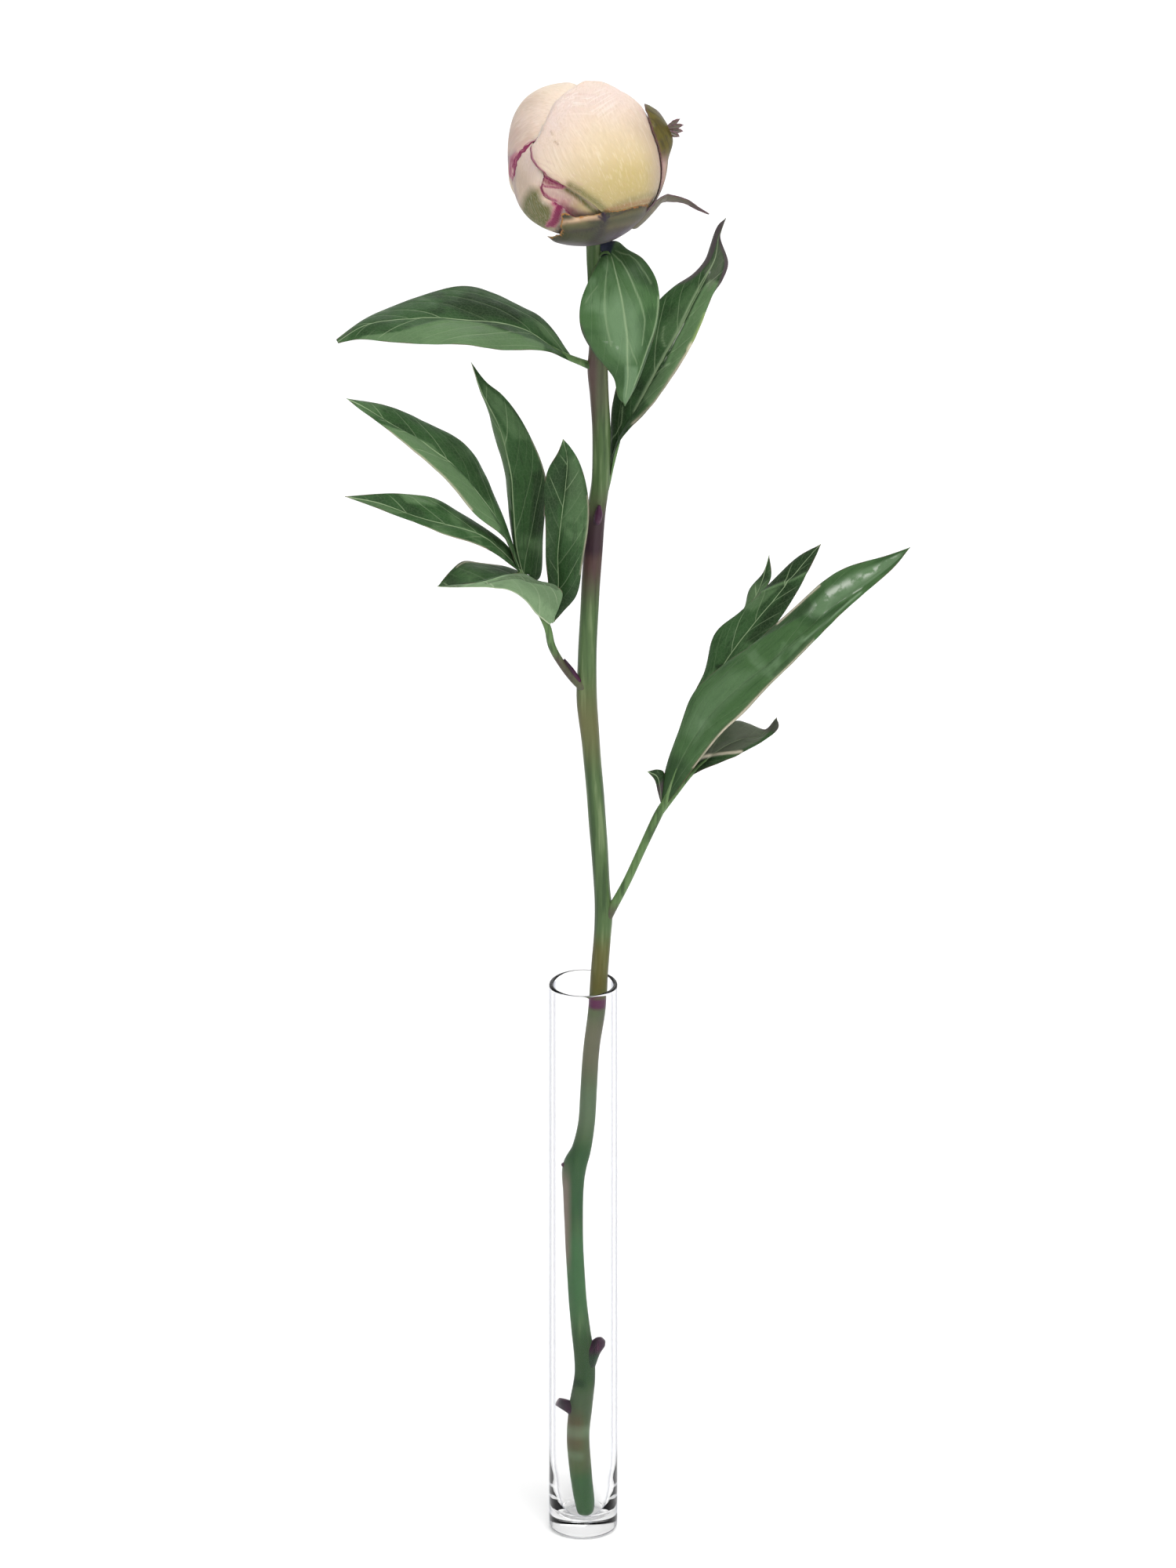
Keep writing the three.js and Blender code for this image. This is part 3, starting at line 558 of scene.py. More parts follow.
def bowl_line(inside):
    """The inside of the thick bottom, from the wall to the axis."""
    across = [(inside, 0.0, BOWL_TOP)] + [(r, 0.0, z) for r, z in BOWL] + [(0.0, 0.0, VASE_FLOOR)]
    mirrored = across + [(-across[-2][0], 0.0, across[-2][2])]
    bowl = walk(mirrored, np.linspace(0.0, 1.0, BOWL_STEPS) * (len(across) - 1) / (len(mirrored) - 1))
    bowl[-1, 0] = 0.0
    return [(r, z) for r, _, z in bowl]


def vase_section():
    """Half of the vase's section from the middle of the foot over the rim to the middle of the inside."""
    reach = VASE_RADIUS - FOOT_RADIUS
    lip = VASE_WALL / 2
    inside = VASE_RADIUS - VASE_WALL
    lip_foot = VASE_HEIGHT - lip
    section = [(0.0, 0.0), (FLAT_FOOT_RADIUS, 0.0), (FOOT_RADIUS - CLOSE_RING, 0.0), (FOOT_RADIUS, 0.0)]
    for k in range(1, FOOT_STEPS + 1):
        turn = k / FOOT_STEPS * math.pi / 2
        section.append((FOOT_RADIUS + reach * math.sin(turn), FOOT_ROUND * (1 - math.cos(turn))))
    rings = [FOOT_ROUND + CLOSE_RING, *WALL_RINGS, lip_foot - CLOSE_RING]
    section += [(VASE_RADIUS, z) for z in rings]
    for k in range(LIP_STEPS + 1):
        turn = k / LIP_STEPS * math.pi
        section.append((inside + lip + lip * math.cos(turn), lip_foot + lip * math.sin(turn)))
    return section + [(inside, z) for z in rings[:1:-1]] + bowl_line(inside)


def in_fixed_order(shell):
    """Sorts the faces by their points, since spin makes them in an order that changes from run to run."""
    shell.verts.index_update()
    by_points = sorted(shell.faces, key=lambda face: sorted(point.index for point in face.verts))
    rank = {face: k for k, face in enumerate(by_points)}
    shell.faces.sort(key=rank.get)


def spun(name, section, turns):
    """A closed shell from half a section, spun round the Z axis."""
    shell = bmesh.new()
    ring = [shell.verts.new((r * MM, 0.0, z * MM)) for r, z in section]
    edges = [shell.edges.new(pair) for pair in zip(ring, ring[1:])]
    bmesh.ops.spin(
        shell, geom=ring + edges, cent=(0, 0, 0), axis=(0, 0, 1), angle=2 * math.pi, steps=turns,
        use_merge=True,
    )
    bmesh.ops.remove_doubles(shell, verts=shell.verts, dist=SAME_PLACE)
    bmesh.ops.recalc_face_normals(shell, faces=shell.faces)
    in_fixed_order(shell)
    mesh = finished_mesh(name, shell)
    mesh.shade_smooth()
    return add_object(name, mesh)


vase = spun("vase_glass", vase_section(), VASE_TURNS)
mount(vase, "vase")
print("vase faces:", len(vase.data.polygons))

# %% Clear glass
GREY_GLINT = (0.12, 0.12, 0.13, 1.0)

glass = Finish("clear_glass", "FFFFFF", 0.0)
edge_on = glass.node("LayerWeight", Blend=0.5)
grazing = glass.fade(edge_on.outputs["Facing"], 0.5, 0.82)
smudge = glass.fade(glass.noise(glass.place()[0], 35.0, 4.0), 0.45, 0.8, 0.0, 0.035)
glass.stain("F4F8F7", smudge)
# Grey at grazing angles: partly the longer way through glass, partly painted shade on the wall's edges.
glass.stain("9295A4", grazing)
vase.data.materials.append(glass.done(Transmission_Weight=1.0, IOR=1.45, Specular_Tint=GREY_GLINT))
print("glass nodes:", len(glass.tree.nodes))

# %% [markdown]
# ## The stem
# A peony's stem is round with faint ridges, jointed where leaves or shoots grow out, and its green turns
# purple-red and brown in places. The tube follows the same points and radii as its solid: each point is
# right, up the view, depth and radius. Long ridges and a slow unevenness swell it a little.

# %% The stem's points
STEM = [
    [0.7, 3.6, -4, 1.6], [0.7, 4.6, -4, 2.8], [0.5, 8.5, -3.9, 3.5], [-1, 20, -3.5, 3.9],
    [-1.9, 33, -3, 4.1], [-0.9, 45, -2.6, 4.2], [0.6, 57, -2, 3.7], [-1.1, 73.5, -1.5, 3.4],
    [-2.3, 86.3, -1, 3.3], [-3.4, 107.8, -0.2, 3.3], [-3.6, 122, 0.4, 3.7], [-3.2, 131.6, 0.7, 4.4],
    [-0.7, 138, 1, 3.6], [1.2, 147, 1.5, 3.1], [2, 159.4, 2, 3], [3.2, 176, 2.8, 3], [5.2, 189.4, 3.4, 3.3],
    [5.9, 202.3, 3.9, 3.15], [7, 215.2, 4.6, 3.1], [7.4, 224, 5, 3.3], [6.9, 232.4, 5.2, 3],
    [5.7, 249.6, 5.6, 3.1], [4.4, 266.8, 5.9, 3.15], [2.9, 283.9, 6.2, 3.3], [1.3, 301.1, 6.4, 3.7],
    [1.3, 314, 6.5, 3.45], [2, 331.2, 6.6, 3.4], [3, 348.4, 6.6, 3.4], [4.6, 369.8, 6.4, 3.45],
    [6.3, 382.7, 6.2, 3.3], [6.6, 399.9, 5.8, 3.3], [5.9, 412.8, 5.3, 3.4], [5.2, 422.8, 5, 3.75],
    [5.5, 431, 4.6, 3.4], [5, 443, 4, 3.1], [4.4, 455.8, 3.2, 2.8], [3.9, 463, 2.5, 2.75],
    [3.8, 466.3, 2.1, 2.75], [3.8, 469.7, 2, 2.8],
]
STEM_STUBS = {
    "stem_stub_left": [
        [-1.5, 41.5, -2.6, 2.9], [-4.6, 43.6, -3.2, 2.4], [-7.6, 45.1, -3.8, 1.9], [-8.9, 45.7, -4.1, 1.5],
    ],
    "stem_stub_right": [
        [1.5, 60, -1.8, 3.2], [3.6, 64.5, -2.2, 2.8], [6, 67.4, -2.6, 2.3], [7, 68.4, -2.7, 1.3],
    ],
    "stem_leaf_scar": [[-3.2, 130, 0.7, 3], [-6.5, 132, 0, 1.4], [-7.9, 132.4, -0.3, 0.5]],
    "stem_side_bud": [[4.6, 366, 5, 1.6], [5.6, 369.6, 2.3, 1.5], [5.8, 372.6, 1.8, 0.6]],
}
print("points along the stem:", len(STEM))

# %% [markdown]
# The stem's finish reads the height. Heights are metres in the object's own coordinates, so each band names
# the height where it starts and ends, and noise that is stretched along the stem breaks it into streaks.

# %% Stem skin
LEFT_BORDER_SOFT = 0.0015
STEM_BANDS = [  # colour, bottom, top, strength, how soft, and left of which line
    ("40683F", 0.000, 0.026, 0.95, 0.006, None),
    ("66724E", 0.026, 0.046, 0.95, 0.005, None),
    ("52664A", 0.046, 0.058, 0.95, 0.004, None),
    ("30522F", 0.058, 0.082, 0.95, 0.005, None),
    ("4A7A4C", 0.082, 0.122, 0.95, 0.008, None),
    ("38623A", 0.122, 0.157, 0.95, 0.008, None),
    ("6A8062", 0.158, 0.180, 0.90, 0.008, None),
    ("76745E", 0.180, 0.205, 0.90, 0.008, None),
    ("6A5440", 0.034, 0.048, 0.8, 0.005, 0.0000),
    # The two pale green bands low down are painted highlights on the stem inside the vase.
    ("8FAE8A", 0.0385, 0.043, 0.5, 0.0020, None),
    ("8FAE8A", 0.0300, 0.033, 0.4, 0.0015, 0.0000),
    ("1C3A20", 0.0585, 0.0615, 0.9, 0.0012, 0.0005),
    ("948478", 0.106, 0.143, 0.95, 0.006, -0.0050),
    ("5E5224", 0.211, 0.234, 0.85, 0.006, None),
    ("5A1C48", 0.2075, 0.2115, 1.0, 0.0010, None),
    ("6A6340", 0.308, 0.333, 0.75, 0.012, None),
    ("54353B", 0.374, 0.408, 0.9, 0.012, None),
    ("35222E", 0.388, 0.404, 0.9, 0.003, None),
    ("5A3C45", 0.436, 0.474, 0.85, 0.010, 0.0050),
    ("6A5A52", 0.446, 0.470, 0.45, 0.008, None),
]
SCALE_BANDS = [("1C4A26", 0.060, 0.0715, 0.9, 0.002, None)]
STALK_BANDS = [("4A3238", 0.236, 0.248, 0.9, 0.003, None), ("4C3A38", 0.328, 0.350, 0.85, 0.004, None)]


def stem_finish(name, ground, dark, light, bands):
    """Streaked skin with bands of colour at some heights."""
    skin = Finish(name, ground, 0.42)
    where, right, _, high = skin.place()
    streaks = skin.noise(skin.stretch(where, (420.0, 420.0, 26.0)), 1.0, 4.0)
    cloud = skin.noise(skin.stretch(where, (60.0, 60.0, 18.0)), 1.0)
    fine = skin.noise(skin.stretch(where, (1500.0, 1500.0, 300.0)), 1.0)
    broken = skin.fade(cloud, 0.35, 0.6, 0.75, 1.0)
    skin.stain(dark, skin.fade(streaks, 0.48, 0.66, 0.0, 0.75))
    skin.stain(light, skin.fade(streaks, 0.46, 0.32, 0.0, 0.55))
    for digits, bottom, top, strength, soft, left_of in bands:
        rise = skin.fade(high, bottom - soft, bottom + soft)
        fall = skin.fade(high, top + soft, top - soft)
        share = skin.times(skin.times(rise, fall), skin.times(broken, strength))
        if left_of is not None:
            border = (left_of + LEFT_BORDER_SOFT, left_of - LEFT_BORDER_SOFT)
            share = skin.times(share, skin.fade(right, *border))
        skin.stain(digits, share)
    skin.stain("2E3D2A", skin.fade(fine, 0.66, 0.8, 0.0, 0.35))
    skin.raised(streaks, 0.25, 0.5)
    skin.raised(fine, 0.08, 0.4)
    return skin.done(Specular_IOR_Level=0.22)


stem_skin = stem_finish("stem_skin", "50683F", "33492A", "82946A", STEM_BANDS)
bud_scale_skin = stem_finish("bud_scale_skin", "44203A", "2A1C28", "6B3A50", SCALE_BANDS)
stalk_skin = stem_finish("stalk_skin", "5F7D4C", "33492A", "82946A", STALK_BANDS)
print("bands of colour on the stem:", len(STEM_BANDS))

# %% The stem and what is left of its side shoots
STEM_AROUND, STEM_ROWS = 40, 420
STUB_AROUND, STUB_ROWS = 20, 24
RIDGES = [(0.018, 5, 9, 0.0), (0.010, 11, -14, 1.3)]  # height, how many round, winding, start
UNEVEN = [(0.015, 61, 2, 0.0), (0.010, 133, -1, 2.0)]  # height, how often along, shift, start


def placed(points):
    """Places as seen, with their radii kept beside them."""
    p = np.asarray(points, float)
    return np.column_stack([seen(p[:, :3]), p[:, 3]])


def stem_ridges(turn, share):
    """Faint ridges that wind slowly round the stem, and an uneven swelling."""
    ridges = sum(h * np.cos(count * turn + wind * share + start) for h, count, wind, start in RIDGES)
    uneven = sum(h * np.sin(often * share + shift * turn + start) for h, often, shift, start in UNEVEN)
    return 1 + ridges + uneven


stem = tube("stem_tube", placed(STEM), STEM_AROUND, STEM_ROWS, stem_skin, stem_ridges)
mount(stem, "stem")
for stub_name, stub_points in STEM_STUBS.items():
    mount(tube(stub_name, placed(stub_points), STUB_AROUND, STUB_ROWS, bud_scale_skin), "stem")
print("stem faces:", len(stem.data.polygons))

# %% [markdown]
# ## Leaflets
# A peony leaf is cut into leaflets. Each is folded a little along its rib, arched on both sides of it, and
# waved at its margin. Side veins leave the rib at a sharp angle and run on towards the tip, and they lie in
# shallow furrows with the green raised between them. The leaflets could be flat cards with a picture of
# veins, but the fold, the furrows and the waves are what catches the light, so they are in the mesh.

# %% Where the side veins run
LEAF_THICKNESS = 0.45
NARROWEST = 0.12
VEIN_STEPS = (9.0, 20.0)
MOST_VEINS = 40
VEINS_BELOW_BASE = 8
RIGHT_SIDE_SEED = 100
FURROW_REACH = 0.09
WAVES_MIXED = 6


def gentle(places, size, seed):
    """A soft uneven wave between -1 and 1, with waves of about a size in mm."""
    dice = np.random.default_rng(seed)
    total = np.zeros(len(places))
    for _ in range(WAVES_MIXED):
        towards = unit(dice.normal(size=places.shape[1]))
        total += np.sin(places @ towards * 2 * np.pi / size + dice.uniform(0, 2 * np.pi))
    return total / WAVES_MIXED


def vein_count(across_mm, along_mm, side, lean, bend, seed, steps=VEIN_STEPS):
    """Counts the side veins on one side of the rib: a whole number on each vein, and rising between them."""
    dice = np.random.default_rng(seed + RIGHT_SIDE_SEED * (side > 0))
    starts = np.cumsum(dice.uniform(*steps, MOST_VEINS)) - VEINS_BELOW_BASE * steps[1]
    out = np.maximum(across_mm * side, 0.0)
    base = along_mm - lean * out - bend * out**2
    return np.interp(base, starts, np.arange(float(MOST_VEINS)))


def furrows(count):
    """How deep the furrow of a side vein is, from 0 to 1."""
    return np.exp(-(((count - np.rint(count)) / FURROW_REACH) ** 2))


dots = np.array([0.0, 5.0, 10.0])
print("veins passed at 30 mm along:", vein_count(dots, dots * 0 + 30.0, 1, 1.6, 0.03, 1).round(2))

# %% From the rib to an edge
CLOSING_SHARE = 0.04
SAFE_SHARE = 0.06


def side_of_rib(edge, rib, t):
    """The way from the rib to an edge at each share, kept from closing up at the two ends."""
    edge, rib = seen(edge), seen(rib)
    rib_shares = even_shares(rib, t)[0]
    forward = ahead(rib, rib_shares)
    way = walk(edge, even_shares(edge, t)[0]) - walk(rib, rib_shares)
    closing = np.clip(1 - np.minimum(t, 1 - t) / CLOSING_SHARE, 0, 1)[:, None]
    way = way - forward * (way * forward).sum(1, keepdims=True) * closing
    width = np.linalg.norm(way, axis=1, keepdims=True)
    safe = np.clip(t, SAFE_SHARE, 1 - SAFE_SHARE)
    spare = walk(edge, even_shares(edge, safe)[0]) - walk(rib, even_shares(rib, safe)[0])
    spare = spare - forward * (spare * forward).sum(1, keepdims=True)
    return np.where(width < NARROWEST, unit(spare) * NARROWEST, way)


print("the narrowest way from rib to edge in mm:", NARROWEST)

# %% [markdown]
# Some marks belong to one leaflet alone: a paler facet, which is partly a paler face and partly painted
# light, a patch of painted shade, a painted highlight, a rolled cream edge, a crease. They are written in the
# leaflet's own numbers, its share along and its share across, and measured out in millimetres: an area has a
# soft border, and a line fades out on both sides.

# %% Areas and lines drawn on a surface
SHORTEST = 1e-9


def away_from_line(places, line):
    """The distance of each place from a line of straight pieces."""
    nearest = np.full(len(places), np.inf)
    for a, b in zip(line, line[1:]):
        span = b - a
        share = np.clip(((places - a) @ span) / max(span @ span, SHORTEST), 0, 1)[:, None]
        nearest = np.minimum(nearest, np.linalg.norm(places - a - share * span, axis=1))
    return nearest


def in_outline(places, outline):
    """Whether places lie in an outline: from inside, a ray crosses it an odd number of times."""
    x, y = places[:, 0], places[:, 1]
    inside = np.zeros(len(places), bool)
    for (ax, ay), (bx, by) in zip(outline, np.roll(outline, -1, 0)):
        if ay != by:
            crosses = (ay > y) != (by > y)
            inside ^= crosses & (x < ax + (y - ay) / (by - ay) * (bx - ax))
    return inside


def area(places, outline, soft):
    """1 inside an outline, 0 outside, and soft over a width in mm at the border."""
    outline = np.asarray(outline, float)
    edge = away_from_line(places, np.vstack([outline, outline[:1]]))
    return np.clip(0.5 + np.where(in_outline(places, outline), edge, -edge) / soft, 0, 1)


def line_mark(places, line, width):
    """1 on a line, fading out by its width in mm on each side."""
    return np.exp(-((away_from_line(places, np.asarray(line, float)) / width) ** 2))


def painted(kinds, count, jobs):
    """Spots by kind, the strongest of the jobs at each point. A job is a kind, a strength and its values."""
    spots = {kind: np.zeros(count) for kind in kinds}
    for kind, strength, values in jobs:
        spots[kind] = np.maximum(spots[kind], strength * values)
    return spots


square = [[0, 0], [4, 0], [4, 4], [0, 4]]
print("inside, on the border and outside:", area(np.array([[2.0, 2.0], [4.0, 2.0], [9.0, 2.0]]), square, 1.0))

# %% The rule that shapes a leaflet
# Of these spots, shade is painted shade, the dark navy one is the bud's painted shadow, the near-white one
# paints highlights and sheen, and the pale one is partly a paler face and partly painted light.
LEAF_SPOTS = ("pale", "bronze", "cream", "shade", "night", "grey", "yellow", "vein", "glint")
RIB_SHARE = 0.18
LEAF_WAVES = ((22.0, 0), (7.0, 1))  # size in mm, and what is added to the seed
SMALL_WAVE = 0.10
FURROW_DEPTH = 0.16
FURROW_START = 4.0
RIB_DEPTH = 0.32
RIB_REACH = 0.75


def leaflet_rule(
    left, rib, right, arch=0.08, wave=0.5, waves=2.5, lean=1.6, bend=0.05, steps=VEIN_STEPS, seed=1,
    roll=0.45, areas=(), lines=(), creases=(),
):
    """The rule for a leaflet drawn by its left edge, its rib and its right edge, each from base to tip."""

    def rule(across, along):
        rows = len(np.unique(np.round(along, 6)))
        t = np.linspace(0.0, 1.0, rows)
        row = np.rint(along * (rows - 1)).astype(int)
        shares, total = even_shares(seen(rib), t)
        middle = walk(seen(rib), shares)[row]
        forward = ahead(seen(rib), shares)[row]
        to_left, to_right = side_of_rib(left, rib, t)[row], side_of_rib(right, rib, t)[row]
        on_left = (across < 0)[:, None]
        way = np.where(on_left, to_left, to_right)
        width = np.linalg.norm(way, axis=1)
        up = unit(np.where(on_left, np.cross(forward, way), np.cross(way, forward)))
        both = unit(unit(np.cross(forward, to_left)) + unit(np.cross(to_right, forward)))
        s = np.abs(across)
        near_rib = np.clip(1 - s / RIB_SHARE, 0, 1)[:, None]
        up = unit(up * (1 - near_rib) + both * near_rib)
        inside = np.sin(np.pi * np.clip(along, 0, 1))
        across_mm, along_mm, margin = across * width, along * total, (1 - s) * width
        counts = [vein_count(across_mm, along_mm, side, lean, bend, seed, steps) for side in (-1, 1)]
        flat = np.stack([across_mm, along_mm], 1)
        big, small = (gentle(flat, size, seed + more) for size, more in LEAF_WAVES)
        count = np.where(across < 0, *counts)
        rise = arch * np.sin(np.pi * s) * width
        rise = rise + wave * s**2 * np.sin(2 * np.pi * waves * along + np.where(across < 0, -1, 1)) * inside
        rise = rise + roll * big * inside + SMALL_WAVE * small * inside
        rise = rise - FURROW_DEPTH * furrows(count) * np.clip(margin / FURROW_START, 0, 1) * inside
        rise = rise - RIB_DEPTH * np.exp(-((across_mm / RIB_REACH) ** 2)) * inside
        drawn = np.stack([across * width.max(), along_mm], 1)

        def in_mm(points):
            return [[across_share * width.max(), along_share * total] for along_share, across_share in points]

        for points, reach, height in creases:
            rise = rise + height * line_mark(drawn, in_mm(points), reach)
        spots = painted(LEAF_SPOTS, len(across), [
            *((kind, strength, area(drawn, in_mm(points), soft)) for kind, points, soft, strength in areas),
            *((kind, strength, line_mark(drawn, in_mm(line), wide)) for kind, line, wide, strength in lines),
        ])
        spots["vein_counts"] = np.stack([*counts, along], 1)
        places = middle + s[:, None] * way + rise[:, None] * up
        return places, np.stack([across_mm, along_mm, margin], 1), spots

    return rule


print("spots a leaflet can have:", LEAF_SPOTS)

# %% [markdown]
# The upper face of a leaflet is deep green and a little shiny, with a thin pale rib and side veins as fine as
# hairs. The lower face is duller and greyer. All the finishes read the kept measures: the distance from the
# rib draws the rib, and wherever the vein count is a whole number there is a side vein. Between two of them a
# finer one starts half way out.

# %% Leaf green, upper and lower face
VEIN_GAP_MM = 6.5
VEIN_REACH_MM, BRANCH_REACH_MM = 0.27, 0.22
RIB_LINE_MM, RIB_LINE_THINS_MM = 0.48, 0.24
BRANCH_SHARE = 0.22
NET_SHARE = 0.12
NET_CELLS_PER_MM = 0.62
LEAF_PAINTS = [  # spot, colour, where the mottling starts and ends, and how much it leaves there
    ("grey", "7B7A70", 0.25, 0.55, 0.7, 1.0),
    ("yellow", "A6B872", 0.25, 0.55, 1.0, 1.0),
    ("bronze", "50434A", 0.25, 0.55, 0.7, 1.0),
    ("cream", "D9CDB8", 0.3, 0.6, 0.8, 1.0),
    # Painted shadow of the bud, in dark navy, where a leaf tucks under it.
    ("night", "262740", 0.2, 0.6, 0.85, 1.0),
    ("vein", "94A983", 0.2, 0.6, 0.85, 0.85),
    # Painted highlights and sheen, broken up by the mottling.
    ("glint", "F0F4EA", 0.44, 0.56, 0.0, 1.0),
]


def hairs(leaf, count, reach):
    """Thin lines where the count is a whole number, out to a reach in mm."""
    gap = leaf.sum("ABSOLUTE", leaf.plus(leaf.sum("FRACT", leaf.plus(count, 0.5)), -0.5))
    return leaf.fade(leaf.times(gap, VEIN_GAP_MM), reach, reach * 0.3)


def vein_lines(leaf, across, margin):
    """Where the side veins, the finer ones between them and the rib are."""
    _, left, right, share = leaf.measures("vein_counts")
    on_right = leaf.sum("GREATER_THAN", across, 0.0)
    count = leaf.plus(left, leaf.times(on_right, leaf.plus(right, leaf.times(left, -1.0))))
    luck = leaf.node("TexWhiteNoise")
    luck.noise_dimensions = "1D"
    leaf.put(luck.inputs["W"], leaf.sum("ROUND", count))
    chance = leaf.fade(luck.outputs["Value"], 0.0, 0.9, 0.2, 1.0)
    side_vein = leaf.times(leaf.times(hairs(leaf, count, VEIN_REACH_MM), chance), leaf.fade(margin, 0.2, 3.0))
    out = leaf.sum("ABSOLUTE", across)
    outer = leaf.fade(leaf.sum("DIVIDE", out, leaf.plus(out, margin)), 0.3, 0.6)
    branch = leaf.times(hairs(leaf, leaf.plus(count, 0.5), BRANCH_REACH_MM), outer)
    rib_reach = leaf.plus(leaf.times(share, -RIB_LINE_THINS_MM), RIB_LINE_MM)
    return side_vein, branch, leaf.fade(leaf.sum("DIVIDE", out, rib_reach), 1.0, 0.45)


def leaf_finish(name, ground, dark, light, vein, roughness, vein_share, rib_share=0.85):
    """The skin of a leaflet, from its ground, dark, light and vein colours."""
    leaf = Finish(name, ground, roughness)
    vector, across, _, margin = leaf.measures()
    where = leaf.place()[0]
    cloud = leaf.noise(where, 42.0, 3.0, 0.6)
    mottle = leaf.noise(where, 190.0, 4.0)
    brushed = leaf.noise(leaf.stretch(vector, (0.5, 0.09, 1.0)), 1.0)
    leaf.stain(dark, leaf.fade(cloud, 0.5, 0.68, 0.0, 0.8))
    leaf.stain(light, leaf.fade(cloud, 0.46, 0.3, 0.0, 0.55))
    leaf.stain(dark, leaf.fade(brushed, 0.5, 0.7, 0.0, 0.45))
    mottled = leaf.fade(mottle, 0.2, 0.6, 0.85, 1.0)
    # Pale spots are partly a paler face and partly painted light; shade spots are painted shade.
    leaf.stain(light, leaf.times(leaf.spot("pale"), mottled))
    leaf.stain("14260F", leaf.times(leaf.spot("shade"), mottled))
    side_vein, branch, rib_line = vein_lines(leaf, across, margin)
    net = leaf.fade(leaf.cells(vector, NET_CELLS_PER_MM), 0.10, 0.02)
    leaf.stain(vein, leaf.times(branch, vein_share * BRANCH_SHARE))
    leaf.stain(vein, leaf.times(side_vein, vein_share))
    leaf.stain(vein, leaf.times(net, vein_share * NET_SHARE))
    leaf.stain(vein, leaf.times(rib_line, rib_share))
    leaf.stain("6B4A44", leaf.times(leaf.fade(margin, 0.4, 0.1), leaf.fade(mottle, 0.45, 0.6, 0.0, 0.5)))
    for spot, digits, start, end, low, high in LEAF_PAINTS:
        leaf.stain(digits, leaf.times(leaf.spot(spot), leaf.fade(mottle, start, end, low, high)))
    leaf.raised(leaf.times(net, -1.0), 0.08, 0.4)
    leaf.raised(leaf.times(side_vein, -1.0), 0.10, 0.5)
    leaf.raised(brushed, 0.25, 0.4)
    leaf.raised(leaf.noise(where, 1400.0), 0.04, 0.35)
    leaf.put(leaf.shader.inputs["Roughness"], leaf.fade(mottle, 0.3, 0.7, roughness - 0.07, roughness + 0.1))
    return leaf.done(Specular_IOR_Level=0.16)


leaf_upper = leaf_finish("leaf_upper_face", "32512C", "1C3018", "627F57", "94A982", 0.5, 0.44)
leaf_lower = leaf_finish("leaf_lower_face", "84A078", "64805A", "A9BE9B", "BCC9A8", 0.62, 0.4)
leaf_smooth = leaf_finish("leaf_smooth_face", "43633A", "304E2B", "7D9A76", "7F9671", 0.48, 0.2, 0.2)
print("leaf nodes:", len(leaf_upper.node_tree.nodes))

# %% [markdown]
# One leaf is its stalks and its leaflets. Each of them is a piece of its own that stands for the leaf's
# solid, so the two functions below build a piece and mount it at once.

# %% A stalk and a leaflet of a leaf
STALK_AROUND, STALK_ROWS = 20, 90


def build_stalk(leaf_node, number, points, skin=stalk_skin):
    """A stalk of a leaf, through points of place and radius."""
    stalk = tube(f"{leaf_node}_stalk_{number}", placed(points), STALK_AROUND, STALK_ROWS, skin)
    mount(stalk, leaf_node)
    print(stalk.name, "faces:", len(stalk.data.polygons))


def build_leaflet(leaf_node, kind, left, rib, right, size=(56, 140), faces=(leaf_upper, leaf_lower), **shape):
    """A leaflet of a leaf. Areas and creases are points, a reach in mm and a strength, after their kind."""
    rule = leaflet_rule(left, rib, right, **shape)
    blade = sheet(f"{leaf_node}_{kind}", *size, rule, LEAF_THICKNESS, faces)
    mount(blade, leaf_node)
    print(blade.name, "faces:", len(blade.data.polygons))


print("one leaflet's thickness in mm:", LEAF_THICKNESS)

# %% [markdown]
# ### The top left leaf
# It is one blade that sweeps out to the left on a short stalk. Its far half stands up and shows its dark
# face, and its near half hangs and catches the light. A single surface with one bend could give both, but
# the light half has a border that wanders, so it is a pale area with a faint crease along it.

